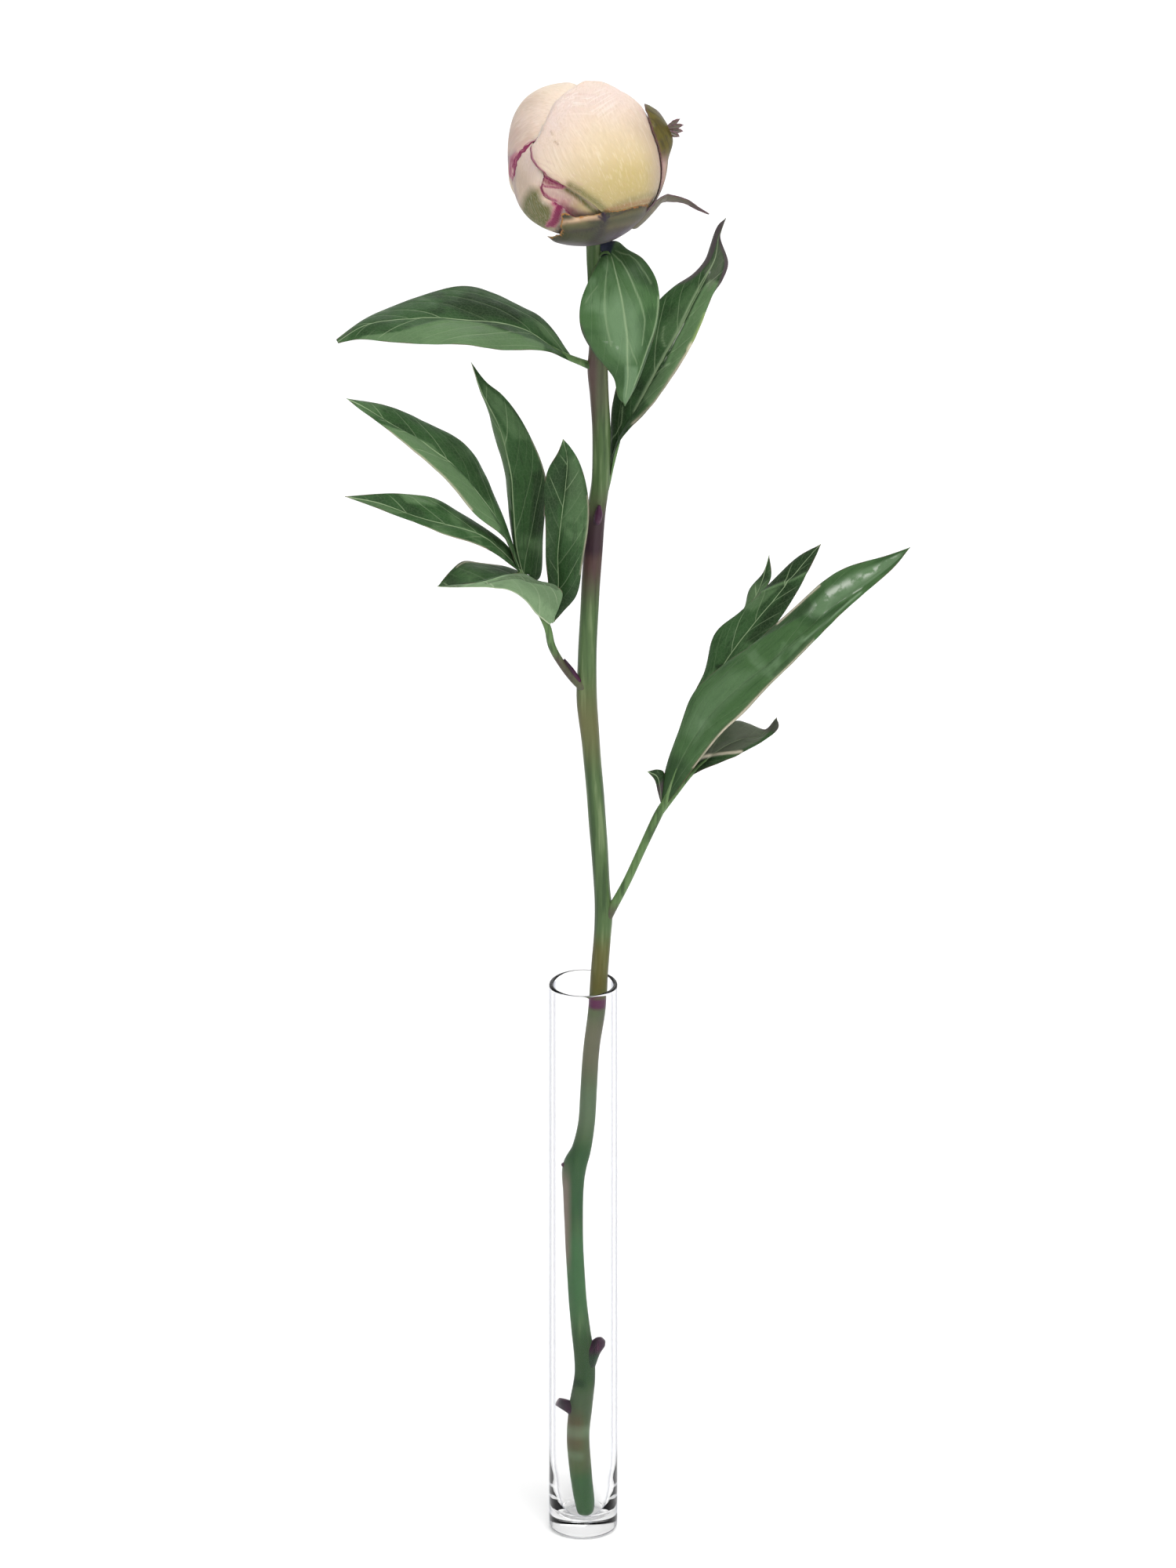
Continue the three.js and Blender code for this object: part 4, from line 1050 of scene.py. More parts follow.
# %% The top left leaf
build_stalk("leaf_top_left", 1, [
    [4, 423.4, 4.6, 1.7], [-0.8, 425.2, 4, 1.3], [-6, 427.3, 4, 1.1], [-14, 431.8, 4.2, 0.6],
])
build_leaflet(
    "leaf_top_left", "blade",
    left=[
        [-6.3, 426.3, 3], [-12.6, 428.8, -3], [-26.9, 429.8, -12], [-41.2, 431, -17], [-55.6, 431.6, -18],
        [-69.9, 432.6, -16], [-82.2, 433.4, -13], [-89.6, 432, -11],
    ],
    rib=[
        [-5, 427, 4], [-12, 431, 4.2], [-19.8, 436.3, 4], [-30.6, 439.4, 2], [-41.2, 440.5, 0],
        [-58.4, 441.2, -3], [-78.5, 439, -8], [-89.8, 432.6, -11],
    ],
    right=[
        [-5, 428, 5], [-11.2, 437.2, 11], [-16, 442.2, 14.3], [-21.2, 445.2, 17], [-32.6, 450.3, 19],
        [-44.1, 452.6, 19], [-61.3, 449.3, 14], [-72.7, 444.2, 7], [-84.2, 438, -4], [-90.5, 433.3, -10.6],
    ],
    seed=4, lean=1.9,
    # Painted light and shade: the first pale area lights the near half, the shade area darkens the far half,
    # and the last pale area is a sheen near the base.
    areas=[
        ("pale", [
            (0.93, -1.1), (0.89, -0.77), (0.72, -0.58), (0.62, -0.3), (0.56, -0.17), (0.47, -0.08),
            (0.41, -0.17), (0.34, -0.37), (0.25, -0.5), (0.14, -0.58), (0.14, -1.1),
        ], 1.2, 0.7),
        ("shade", [
            (0.24, 0.1), (0.24, 0.5), (0.33, 0.66), (0.46, 0.66), (0.55, 0.4), (0.48, 0.1),
        ], 3.0, 0.75),
        ("pale", [(0.02, 0.2), (0.14, 0.25), (0.2, 0.5), (0.1, 0.8), (0.02, 0.8)], 2.0, 0.5),
    ],
    lines=[("bronze", [(0.93, 0.3), (1.0, 0.0)], 1.2, 0.8), ("cream", [(0.9, 1.0), (0.97, 0.6)], 0.5, 0.5)],
    creases=[([(0.72, -0.58), (0.56, -0.17), (0.41, -0.17), (0.25, -0.5)], 1.2, 0.5)],
)

# %% [markdown]
# ### The top front leaf
# It hangs down in front of the stem, right below the bud, and turns its smooth face to the camera. Its veins
# run nearly along it, so they are drawn one by one as lines.

# %% The top front leaf
build_stalk("leaf_top_front", 1, [
    [4.4, 461, 2.6, 1.5], [6.4, 464, 1.6, 1.2], [9, 465, -0.6, 0.9], [11, 461, -4.5, 0.6],
])
build_leaflet(
    "leaf_top_front", "blade",
    left=[
        [6.4, 468.2, -0.6], [9.2, 469.4, 1.2], [12.6, 469.2, 2.2], [16, 466.4, 0], [21.8, 462.9, -4],
        [26.9, 454.9, -8], [27.5, 442.9, -12], [24.1, 428.6, -15], [19.5, 417.1, -16], [15.2, 409.1, -17],
    ],
    rib=[
        [7.4, 465, 1.4], [10, 464.5, -2], [12, 457.2, -9], [14, 448.6, -14], [15.5, 440, -17],
        [16.9, 428.6, -18.5], [17.2, 420, -18.5], [16, 411.4, -17.5], [15.2, 409.1, -17],
    ],
    right=[
        [6.6, 463.6, 0], [5.6, 462, -3.5], [3.2, 457.6, -9], [-0.9, 447.2, -14], [-0.9, 437.7, -17],
        [4, 428, -18], [11.2, 419.4, -17], [12.6, 412.8, -16.5], [15.2, 409.1, -17],
    ],
    seed=9, lean=4.5, bend=0.05, steps=(16.0, 30.0),
    # Painted light and shade: the dark navy area is the bud's shadow on the leaf's base, the shade area is
    # shade, and the first pale patch is a sheen.
    areas=[
        ("night", [
            (-0.02, -1.1), (-0.02, 1.1), (0.03, 1.1), (0.06, 0.2), (0.08, -0.4), (0.08, -1.1),
        ], 1.2, 0.95),
        ("shade", [(0.08, -0.2), (0.1, -1.0), (0.3, -1.1), (0.42, -0.9), (0.3, -0.45)], 3.0, 0.55),
        ("pale", [
            (0.3, 0.1), (0.42, -0.35), (0.66, -0.4), (0.74, 0.1), (0.62, 0.5), (0.4, 0.5),
        ], 6.0, 0.45),
        ("pale", [(0.72, 0.2), (0.76, -0.4), (0.98, -0.8), (0.98, 0.5)], 2.0, 0.5),
    ],
    lines=[
        ("vein", [
            (0.09, 0.05), (0.21, 0.0), (0.38, 0.0), (0.56, 0.02), (0.7, 0.1), (0.93, 0.2),
        ], 0.42, 0.85),
        ("vein", [(0.07, 0.25), (0.21, 0.37), (0.37, 0.42), (0.48, 0.42), (0.59, 0.45)], 0.32, 0.5),
        ("vein", [
            (0.09, -0.17), (0.17, -0.37), (0.27, -0.37), (0.35, -0.38), (0.51, -0.52), (0.64, -0.48),
        ], 0.32, 0.6),
        ("vein", [(0.1, -0.42), (0.18, -0.8), (0.28, -0.78), (0.36, -0.82)], 0.3, 0.4),
        ("vein", [
            (0.44, -0.96), (0.52, -0.92), (0.61, -0.85), (0.75, -0.65), (0.86, -0.42), (0.95, -0.5),
        ], 0.42, 0.9),
        ("vein", [(0.56, 0.03), (0.67, -0.12), (0.74, -0.33)], 0.3, 0.5),
        ("vein", [(0.25, 0.62), (0.29, 0.77), (0.33, 0.87)], 0.3, 0.3),
        # Painted highlights on small crinkles.
        ("glint", [(0.55, 0.57), (0.58, 0.38), (0.61, 0.32)], 0.5, 0.5),
        ("bronze", [(0.45, 0.99), (0.7, 0.99)], 0.6, 0.6),
    ],
    creases=[([(0.44, -0.96), (0.61, -0.85), (0.75, -0.65), (0.86, -0.42)], 1.0, 0.5)],
    faces=[leaf_smooth, leaf_lower],
    size=(70, 150),
)

# %% [markdown]
# ### The top right leaf
# It stands up beside the bud, twisted, with its right margin rolled over in cream and its tip dried to a dark
# purple brown. The twist comes from the depths of its two edges, and the roll is a crease near the margin.

# %% The top right leaf
build_stalk("leaf_top_right", 1, [
    [6.6, 375, 6.4, 1.7], [8.4, 380.5, 7, 1.4], [10.2, 387, 7.6, 1], [13, 396.5, 9, 0.6],
])
build_leaflet(
    "leaf_top_right", "blade",
    left=[
        [9.3, 384.2, 8], [10, 397.1, 12], [10.6, 409.1, 15], [13.2, 420, 18], [19.5, 434.3, 20],
        [27.5, 447.4, 20], [33.2, 453, 20], [39.4, 457.2, 20], [44.3, 462.6, 19], [49.4, 475.4, 18],
        [52.1, 477.8, 18],
    ],
    rib=[
        [9.6, 384, 7], [13.2, 397.1, 9], [18.9, 407.1, 10], [24.6, 418, 11], [30.4, 428.6, 11],
        [36.1, 438.6, 11], [39.9, 446.3, 12], [44.7, 455.8, 13], [48.1, 462.9, 14], [49.8, 471.5, 16],
        [52.1, 477.8, 18],
    ],
    right=[
        [9.8, 383.4, 6], [12.3, 394.2, 4], [16, 399.9, 3], [21.8, 406.2, 3], [33.2, 420, 4],
        [41.8, 436.6, 5], [47.5, 450, 8], [51, 455.2, 10], [53, 461.5, 12], [50, 471.5, 15],
        [52.1, 477.8, 18],
    ],
    seed=6, lean=1.9,
    areas=[
        ("pale", [
            (0.3, 0.1), (0.45, 0.3), (0.54, 0.22), (0.65, 0.25), (0.78, 0.3), (0.78, 1.1), (0.3, 1.1),
        ], 1.0, 0.75),
        ("shade", [(0.08, -1.1), (0.08, -0.15), (0.25, -0.25), (0.33, -0.6), (0.33, -1.1)], 2.0, 0.6),
        ("bronze", [
            (0.68, -1.1), (0.72, -0.8), (0.84, -0.3), (0.93, -0.1), (1.02, 0.0), (1.02, -1.1),
        ], 2.2, 0.85),
        ("bronze", [
            (0.72, 1.1), (0.78, 0.85), (0.88, 0.7), (0.94, 0.2), (1.02, 0.0), (1.02, 1.1),
        ], 1.6, 0.85),
        ("grey", [(0.74, 0.7), (0.8, -0.3), (0.93, 0.0), (0.9, 0.7)], 2.0, 0.3),
        ("pale", [(0.5, -0.5), (0.6, -0.4), (0.74, -0.4), (0.74, 0.0), (0.5, 0.0)], 2.5, 0.3),
    ],
    lines=[
        ("yellow", [(0.5, 0.95), (0.56, 0.96), (0.66, 0.98)], 0.9, 0.6),
        ("cream", [(0.22, 0.85), (0.31, 0.93), (0.39, 0.94), (0.47, 0.93), (0.55, 0.96)], 1.0, 0.85),
        ("vein", [
            (0.24, -0.04), (0.34, -0.04), (0.51, -0.02), (0.64, -0.06), (0.77, -0.1), (0.85, -0.02),
        ], 0.42, 0.95),
        ("vein", [(0.56, -0.4), (0.52, -0.28), (0.5, -0.12)], 0.3, 0.5),
        ("vein", [(0.38, 0.0), (0.44, 0.38), (0.46, 0.53)], 0.32, 0.7),
        ("vein", [(0.11, -0.87), (0.14, -0.38), (0.18, -0.27), (0.24, -0.5)], 0.3, 0.8),
        # Painted highlights on the rib.
        ("glint", [(0.44, 0.2), (0.53, 0.12), (0.6, 0.07)], 0.55, 0.9),
        ("glint", [(0.79, 0.1), (0.84, 0.07), (0.87, 0.1)], 0.5, 0.8),
    ],
    creases=[
        ([(0.45, 0.4), (0.54, 0.25), (0.65, 0.28), (0.76, 0.35)], 1.2, 0.6),
        ([(0.22, 0.85), (0.42, 0.88), (0.52, 0.85)], 0.9, -0.7),
    ],
)

# %% [markdown]
# ### The left leaf
# One long stalk carries five leaflets, and a small dark scale sits in its corner with the stem. The low
# leaflet is folded over, so that its pale lower face shows. The others spread like a hand: each has its own
# lines, because a copied leaflet would show at once as a copy.

# %% The left leaf's stalk, its scale and its folded low leaflet
build_stalk("leaf_left", 1, [
    [1, 306, 5.4, 2.1], [-2.3, 308.3, 4, 1.6], [-7.6, 314.6, 1.4, 1.4], [-11.5, 321.5, -1, 1.4],
    [-13.2, 328.6, -2.4, 1.3], [-18, 338, -1, 1.1], [-23.5, 349, 0, 0.9],
])
build_stalk("leaf_left", 2, [
    [-1.8, 308.6, 3.9, 1.2], [-4.3, 312.6, 2.6, 1], [-6.9, 316.6, 1.2, 0.35],
], bud_scale_skin)
build_leaflet(
    "leaf_left", "low",
    left=[
        [-11, 331, -5], [-8.9, 335.5, -8], [-7.7, 341.3, -12], [-10.5, 344.4, -14], [-16.9, 345.8, -15],
        [-21.2, 347.5, -15], [-29.8, 346.9, -14], [-41.2, 344.6, -12], [-53.3, 343.2, -10],
    ],
    rib=[
        [-12.4, 329.5, -3.6], [-16.9, 333.5, -5], [-21.2, 338.7, -6], [-26.9, 342.1, -7],
        [-35.5, 343.5, -8], [-47, 343.2, -9], [-53.3, 343.2, -10],
    ],
    right=[
        [-12.6, 331, -1], [-14, 340, 4], [-20, 347, 7], [-28.4, 350.1, 7], [-36.9, 352.1, 5],
        [-43.5, 352.5, 2], [-48.4, 348.9, -4], [-53.3, 343.2, -10],
    ],
    seed=12, lean=1.2,
    areas=[
        ("shade", [(0.8, -1.1), (0.86, 1.1), (1.02, 1.1), (1.02, -1.1)], 3.0, 0.6),
        ("shade", [(0.28, -1.1), (0.28, -0.85), (0.4, -0.8), (0.6, -0.5), (0.6, -1.1)], 1.5, 0.45),
    ],
    lines=[
        ("cream", [(0.5, 0.95), (0.62, 0.97), (0.8, 0.9)], 0.6, 0.6),
        ("shade", [(0.29, -0.92), (0.38, -0.83), (0.5, -0.6), (0.66, -0.3)], 0.6, 0.6),
    ],
    creases=[([(0.29, -0.92), (0.38, -0.83), (0.5, -0.6), (0.66, -0.3)], 1.0, -0.6)],
)

# %% The left leaf's long and high leaflets
build_leaflet(
    "leaf_left", "long",
    left=[
        [-23.3, 348.7, -1], [-32.6, 355.2, -8], [-41.2, 359.5, -13], [-52.7, 362.7, -18],
        [-64.1, 367.6, -20], [-78.5, 373, -21], [-87.1, 376.1, -22],
    ],
    rib=[
        [-22.9, 348.9, 0], [-29.8, 356, -3], [-36.9, 361.5, -7], [-47, 365.3, -11], [-61.3, 368.8, -16],
        [-75, 373.8, -20], [-87.1, 376.1, -22],
    ],
    right=[
        [-23.2, 349.6, 1], [-26.9, 357, 1], [-35.5, 364.7, 0], [-47, 371, -3], [-55.6, 375.9, -6],
        [-65.6, 377.1, -12], [-75.6, 377, -18], [-87.1, 376.1, -22],
    ],
    seed=15, lean=2.0,
    areas=[
        ("pale", [(0.5, 1.1), (0.55, 0.6), (0.7, 0.5), (0.75, 1.1)], 1.5, 0.6),
        ("shade", [(0.15, 0.1), (0.2, 0.7), (0.4, 0.6), (0.4, 0.15)], 2.5, 0.5),
        ("pale", [(0.7, -0.2), (0.78, -1.1), (1.0, -1.1), (1.0, -0.1)], 2.5, 0.45),
    ],
    lines=[("cream", [(0.25, -0.98), (0.45, -0.99), (0.6, -0.99)], 0.45, 0.5)],
    creases=[([(0.6, 0.55), (0.68, 0.75)], 0.8, 0.6), ([(0.55, 0.75), (0.63, 0.9)], 0.7, -0.6)],
)
build_leaflet(
    "leaf_left", "high",
    left=[
        [-24.1, 349.8, -1], [-28.4, 359.8, -6], [-38.4, 369, -10], [-47, 378.7, -13], [-58.4, 389.3, -13],
        [-69.9, 399.6, -11], [-81.3, 407.6, -9], [-86.5, 411.9, -8],
    ],
    rib=[
        [-23.5, 349.8, 0], [-27.5, 359.2, 0], [-31.2, 367, 0], [-38.9, 377.9, 0], [-49.8, 389.3, -2],
        [-59.9, 396.5, -4], [-69.9, 402.5, -6], [-81.3, 409.3, -8], [-86.5, 411.9, -8],
    ],
    right=[
        [-22.9, 349.8, 1], [-25.8, 359, 4], [-29.8, 370.7, 7], [-35.5, 383.6, 9], [-41.2, 392.5, 9],
        [-47, 397.9, 8], [-58.4, 403.9, 5], [-72.7, 409.4, -1], [-86.5, 411.9, -8],
    ],
    seed=18, lean=1.9,
    areas=[
        ("pale", [
            (0.86, -1.1), (0.84, -0.92), (0.76, -0.28), (0.68, 0.05), (0.61, 0.1), (0.5, -0.13),
            (0.38, -0.2), (0.28, -0.28), (0.2, -0.6), (0.2, -1.1),
        ], 1.0, 0.75),
        ("shade", [(0.3, 0.1), (0.3, 0.8), (0.55, 0.85), (0.6, 0.25)], 3.5, 0.4),
    ],
    lines=[("cream", [(0.35, -0.97), (0.6, -0.97), (0.8, -0.97)], 0.5, 0.55)],
    creases=[([(0.76, -0.28), (0.61, 0.1), (0.38, -0.2), (0.28, -0.28)], 1.1, 0.5)],
)

# %% The left leaf's upright and inner leaflets
build_leaflet(
    "leaf_left", "upright",
    left=[
        [-22.6, 347.2, 1], [-24.6, 355.5, 5], [-26.6, 367, 9], [-29.8, 389.9, 13], [-33.2, 401.3, 14],
        [-37.8, 415.7, 13], [-41, 425.1, 12],
    ],
    rib=[
        [-21.8, 346.9, 0], [-24.3, 357, 1], [-25.5, 371.3, 4], [-26.8, 385.6, 7], [-30.6, 401.3, 10],
        [-37.2, 414.2, 11], [-41, 425.1, 12],
    ],
    right=[
        [-20.6, 346, 0.5], [-16.3, 346, 4], [-14.6, 359.8, 8], [-13.7, 374.1, 12], [-14, 382.7, 13],
        [-16.9, 392.8, 14], [-22.6, 404.2, 14], [-29.8, 413.4, 13], [-35.5, 418, 12.5], [-41, 425.1, 12],
    ],
    seed=21, lean=2.4,
    areas=[
        ("pale", [
            (0.9, 0.1), (0.77, 0.0), (0.62, 0.1), (0.46, -0.1), (0.3, -0.2), (0.3, -1.1), (0.9, -1.1),
        ], 0.9, 0.75),
        ("shade", [(0.2, 0.5), (0.25, 1.1), (0.5, 1.1), (0.46, 0.55)], 2.0, 0.65),
        ("pale", [(0.62, 0.3), (0.74, 0.2), (0.86, 0.1), (0.9, 0.6), (0.72, 0.9), (0.6, 0.9)], 1.5, 0.35),
    ],
    lines=[
        ("cream", [(0.93, 0.0), (1.0, 0.0)], 0.9, 0.8),
        ("cream", [(0.3, 0.98), (0.6, 0.98)], 0.35, 0.4),
    ],
    creases=[([(0.77, 0.0), (0.62, 0.1), (0.46, -0.1)], 0.9, 0.4)],
)
build_leaflet(
    "leaf_left", "inner",
    left=[
        [-12.4, 330.4, -3], [-12.9, 344.1, -7], [-14, 365.5, -11], [-14, 381, -12], [-12.6, 386.5, -11],
        [-9.2, 392.5, -11], [-7.4, 397.1, -11],
    ],
    rib=[
        [-11.8, 330, -3], [-9.2, 342.6, -4], [-9.3, 355, -6], [-8.3, 365.5, -8], [-6.5, 380, -9],
        [-5.9, 390, -10], [-7.4, 397.1, -11],
    ],
    right=[
        [-11.2, 329.6, -3], [-7.4, 334, -4], [-2.6, 339.8, -6], [-0.3, 351.2, -8], [2, 368, -10],
        [1.2, 380, -11], [-1.5, 389, -11], [-5, 394.5, -11], [-7.4, 397.1, -11],
    ],
    seed=24, lean=1.7,
    areas=[
        ("shade", [(0.1, -1.1), (0.1, -0.2), (0.5, -0.2), (0.7, -0.4), (0.7, -1.1)], 2.0, 0.45),
        ("pale", [(0.55, 0.1), (0.6, 0.9), (0.9, 0.9), (0.9, 0.1)], 2.5, 0.4),
    ],
    lines=[("cream", [(0.3, 0.98), (0.7, 0.98)], 0.35, 0.4)],
)

# %% [markdown]
# ### The right leaf
# Its leaflets are pressed together like a half closed fan: the long one in front with a rolled cream edge and
# a painted silvery sheen, the middle one and the back one behind it, a curled one below and the stub of a
# torn one.
# They overlap in the picture, so their depths are kept well apart.

# %% The right leaf's stalks and its long leaflet
build_stalk("leaf_right", 1, [
    [7.2, 220, 4.8, 2.2], [10.6, 225.8, 3.5, 1.7], [15.8, 235.3, 2, 1.5], [21.8, 248.2, 0.5, 1.5],
    [27.2, 259.6, -0.5, 1.6], [30.6, 266, -1, 1.2], [34.5, 277, -2.6, 0.6],
])
build_stalk("leaf_right", 2, [
    [27.2, 259.6, -0.2, 1.3], [33.2, 267.4, 1, 1.2], [39, 274.4, 2, 0.9], [45, 280, 3, 0.5],
])
build_stalk("leaf_right", 3, [
    [29, 263, -0.2, 1.2], [33, 274, 4.5, 1], [38, 286, 8, 0.9], [44, 302, 10.2, 0.5],
])
build_leaflet(
    "leaf_right", "long",
    left=[
        [28.6, 265, -0.4], [29.8, 275.3, 1], [34.7, 289.7, 1], [40.4, 304.8, 1], [50.4, 314.6, 1],
        [61.9, 322, -1], [73.3, 332, -3], [87.6, 345.2, -7], [95.6, 350.1, -9], [110.5, 354.4, -15],
        [119.4, 357.5, -18],
    ],
    rib=[
        [30, 264.5, -1], [34.5, 277, -3], [43, 292, -6], [53, 303, -9], [66, 314, -11], [80, 326, -13],
        [95, 339, -15], [108, 348.5, -17], [119.4, 357.5, -18],
    ],
    right=[
        [30.9, 264.5, -1.8], [34.6, 269, -4], [42.6, 279.9, -8.5], [50.4, 289.7, -13], [59, 297.4, -16],
        [76.2, 315.4, -19], [90.5, 329.8, -20], [101.9, 339.8, -20], [113.4, 350.1, -19],
        [119.4, 357.5, -18],
    ],
    size=(70, 190),
    faces=[leaf_smooth, leaf_smooth],
    seed=27, lean=5.0, bend=0.02, steps=(16.0, 34.0),
    # Painted light and shade: the pale area at the tip and the near-white lines below are a silvery sheen,
    # and the shade areas are shade.
    areas=[
        ("shade", [(0.49, -1.1), (0.56, -0.72), (0.63, -0.5), (0.69, -0.4), (0.69, -1.1)], 1.0, 0.45),
        ("pale", [(0.66, -0.5), (0.8, -0.6), (0.97, -0.5), (0.97, 0.5), (0.8, 0.4), (0.7, 0.1)], 3.0, 0.5),
        ("pale", [(0.2, -0.6), (0.4, -0.6), (0.5, 0.2), (0.2, 0.3)], 4.0, 0.22),
        ("shade", [(0.0, -1.1), (0.0, 1.1), (0.14, 1.1), (0.14, -1.1)], 5.0, 0.3),
    ],
    lines=[
        ("cream", [(0.14, 0.93), (0.3, 0.96), (0.41, 0.93), (0.52, 0.93), (0.64, 0.9)], 0.8, 0.95),
        ("cream", [(0.58, -0.93), (0.65, -0.95), (0.73, -0.93)], 0.6, 0.8),
        ("glint", [(0.69, -0.3), (0.75, -0.42), (0.81, -0.33), (0.87, -0.25), (0.95, -0.3)], 1.7, 0.42),
        ("glint", [(0.69, 0.0), (0.76, 0.1), (0.83, 0.45)], 0.7, 0.4),
        ("pale", [(0.63, 0.6), (0.73, 0.72), (0.82, 0.75)], 1.2, 0.8),
        ("shade", [(0.5, 0.75), (0.64, 0.72), (0.78, 0.6)], 1.0, 0.5),
    ],
    creases=[
        ([(0.14, 0.88), (0.41, 0.86), (0.64, 0.84)], 0.9, -0.8),
        ([(0.49, -0.9), (0.56, -0.7), (0.63, -0.43), (0.69, -0.05), (0.76, 0.33)], 1.5, 0.6),
    ],
)

# %% The right leaf's middle and back leaflets
build_leaflet(
    "leaf_right", "middle",
    left=[
        [37.4, 285.4, 8.4], [38.9, 299.7, 12], [43.8, 311.1, 15], [48.1, 326, 19], [57.6, 334, 22],
        [69, 345.5, 24], [79, 354.4, 26], [86.8, 358.7, 26],
    ],
    rib=[
        [38, 285, 7.8], [44, 302, 10], [52, 316, 12], [61, 328, 15], [71, 340, 18], [80, 351, 22],
        [86.8, 358.7, 26],
    ],
    right=[
        [38.8, 284.6, 7.2], [47, 300, 6], [56.1, 314, 7], [64.7, 322.6, 9], [70.4, 329.8, 11],
        [79, 342.6, 16], [84.8, 354.1, 22], [86.8, 358.7, 26],
    ],
    seed=30, lean=2.0,
    areas=[
        ("shade", [
            (0.7, -1.1), (0.72, -0.8), (0.79, -0.12), (0.86, 0.87), (0.88, 1.1), (1.02, 1.1), (1.02, -1.1),
        ], 1.0, 0.75),
        ("shade", [(0.5, 0.3), (0.52, 0.9), (0.68, 0.9), (0.78, 0.6), (0.7, 0.25)], 2.5, 0.75),
        ("pale", [(0.6, -1.1), (0.62, -0.4), (0.76, -0.2), (0.7, -0.8), (0.68, -1.1)], 1.5, 0.5),
    ],
    lines=[
        ("pale", [(0.7, -0.82), (0.79, -0.12), (0.86, 0.87)], 0.7, 0.9),
        ("shade", [(0.35, -0.23), (0.4, 0.37)], 0.8, 0.9),
    ],
    creases=[([(0.7, -0.82), (0.79, -0.12), (0.86, 0.87)], 1.2, 0.7)],
)
build_leaflet(
    "leaf_right", "back",
    left=[
        [39.4, 289, 9.4], [43, 306, 19], [51.8, 328.3, 25], [57.6, 333.5, 29], [60.4, 342.1, 32],
        [65.9, 348.4, 34], [67.9, 354.7, 36],
    ],
    rib=[
        [39.6, 288.4, 9], [46, 306, 18], [54.5, 328, 24], [60.5, 336, 27], [65, 344, 31], [67.9, 354.7, 36],
    ],
    right=[
        [40, 288, 8.6], [49, 306, 17], [58, 328.3, 23], [66.2, 341.2, 26], [68.7, 347, 31],
        [67.9, 354.7, 36],
    ],
    seed=33,
    areas=[("pale", [(0.0, -1.1), (0.0, 1.1), (0.85, 1.1), (0.85, -1.1)], 5.0, 0.6)],
)

# %% The right leaf's curled leaflet and its stub
build_leaflet(
    "leaf_right", "curled",
    left=[
        [37.4, 275.6, 2.2], [44.8, 285.4, 7], [49.4, 290, 10], [55.6, 294, 13], [60.4, 293.4, 14],
        [67, 291.1, 14], [70.7, 295.4, 14],
    ],
    rib=[[38.6, 274.2, 2], [45, 280, 3], [52, 285, 6], [58, 287.5, 8], [65, 288.9, 11], [70.7, 295.4, 14]],
    right=[
        [39, 273.8, 2], [44.7, 276.8, 1], [51.8, 279.6, 2], [56.1, 281.1, 3], [61.9, 284.8, 5],
        [69.4, 289.2, 10], [71.4, 292, 12], [70.7, 295.4, 14],
    ],
    seed=36,
    areas=[
        ("grey", [
            (0.05, -1.1), (0.1, -0.7), (0.3, 0.3), (0.48, 0.8), (0.7, 0.8), (0.95, 0.2), (0.95, -1.1),
        ], 1.2, 0.55),
        ("bronze", [(0.8, -1.1), (0.86, 1.1), (1.02, 1.1), (1.02, -1.1)], 2.0, 0.6),
    ],
    lines=[("cream", [(0.12, -0.75), (0.26, -0.1), (0.36, 0.43), (0.5, 0.9)], 0.6, 0.9)],
    creases=[([(0.12, -0.75), (0.26, -0.1), (0.36, 0.43), (0.5, 0.9)], 0.9, 0.6)],
)
build_leaflet(
    "leaf_right", "stub",
    left=[[28.2, 264.7, -1], [27.2, 268.2, -1], [26, 272.6, -1], [23.4, 275.6, -1]],
    rib=[[28.4, 264.6, -0.6], [28, 270, -0.4], [26.8, 274, -0.5], [23.4, 275.6, -1]],
    right=[[29, 264.5, 0], [29.4, 271, 0.5], [29.4, 275.5, 1], [27, 276.4, 0], [23.4, 275.6, -1]],
    wave=0, roll=0.1, size=(24, 40),
    areas=[("bronze", [(0.0, -1.1), (0.0, 1.1), (0.5, 1.1), (0.5, -1.1)], 2.0, 0.7)],
)

# %% [markdown]
# ## The bud
# The bud is an egg of petals that lie in layers, the guard petals outside and the packed inner ones within.
# Each petal is drawn on the egg by directions from its centre: degrees round from the front towards the
# right, degrees up, and sometimes a third number, how far the petal stands off. The egg swells a little in
# three places and is flatter in three. A petal modelled as a flat cloth and wrapped would need pinning and
# could tear, while this rule puts it straight into its layer, with its margin pressed on the petal below.

# %% The egg and its layers
BUD_CENTRE = np.array([0.9, 2.0, 546.2])
BUD_RADIUS = 28.4
BUD_HALF_HEIGHT = 30.4
LAYER = 1.2
SWELLINGS = [  # direction, height in mm, and spread in radians
    ([-95, 45], 4.5, 0.55), ([-80, -35], 2.3, 0.5), ([98, 52], 1.9, 0.42), ([95, 20], -1.5, 0.6),
    ([62, -44], -1, 0.35), ([10, -65], -1.3, 0.7),
]


def direction(marks):
    """Directions from the bud's centre, of length 1."""
    turn, up = (np.radians([m[k] for m in marks]) for k in (0, 1))
    return np.stack([np.sin(turn) * np.cos(up), -np.cos(turn) * np.cos(up), np.sin(up)], 1)


def on_bud(ways, out):
    """Places in mm on the egg, moved out from it."""
    for towards, height, spread in SWELLINGS:
        angle = np.arccos(np.clip(ways @ direction([towards])[0], -1, 1))
        out = out + height * np.exp(-((angle / spread) ** 2))
    reach = np.stack([BUD_RADIUS + out, BUD_RADIUS + out, BUD_HALF_HEIGHT + out], 1)
    return ways * reach + BUD_CENTRE


print("the front of the egg in mm:", on_bud(direction([[0, 0]]), np.zeros(1))[0].round(1))

# %% Drawing on the egg
LEAST_ANGLE = 0.02


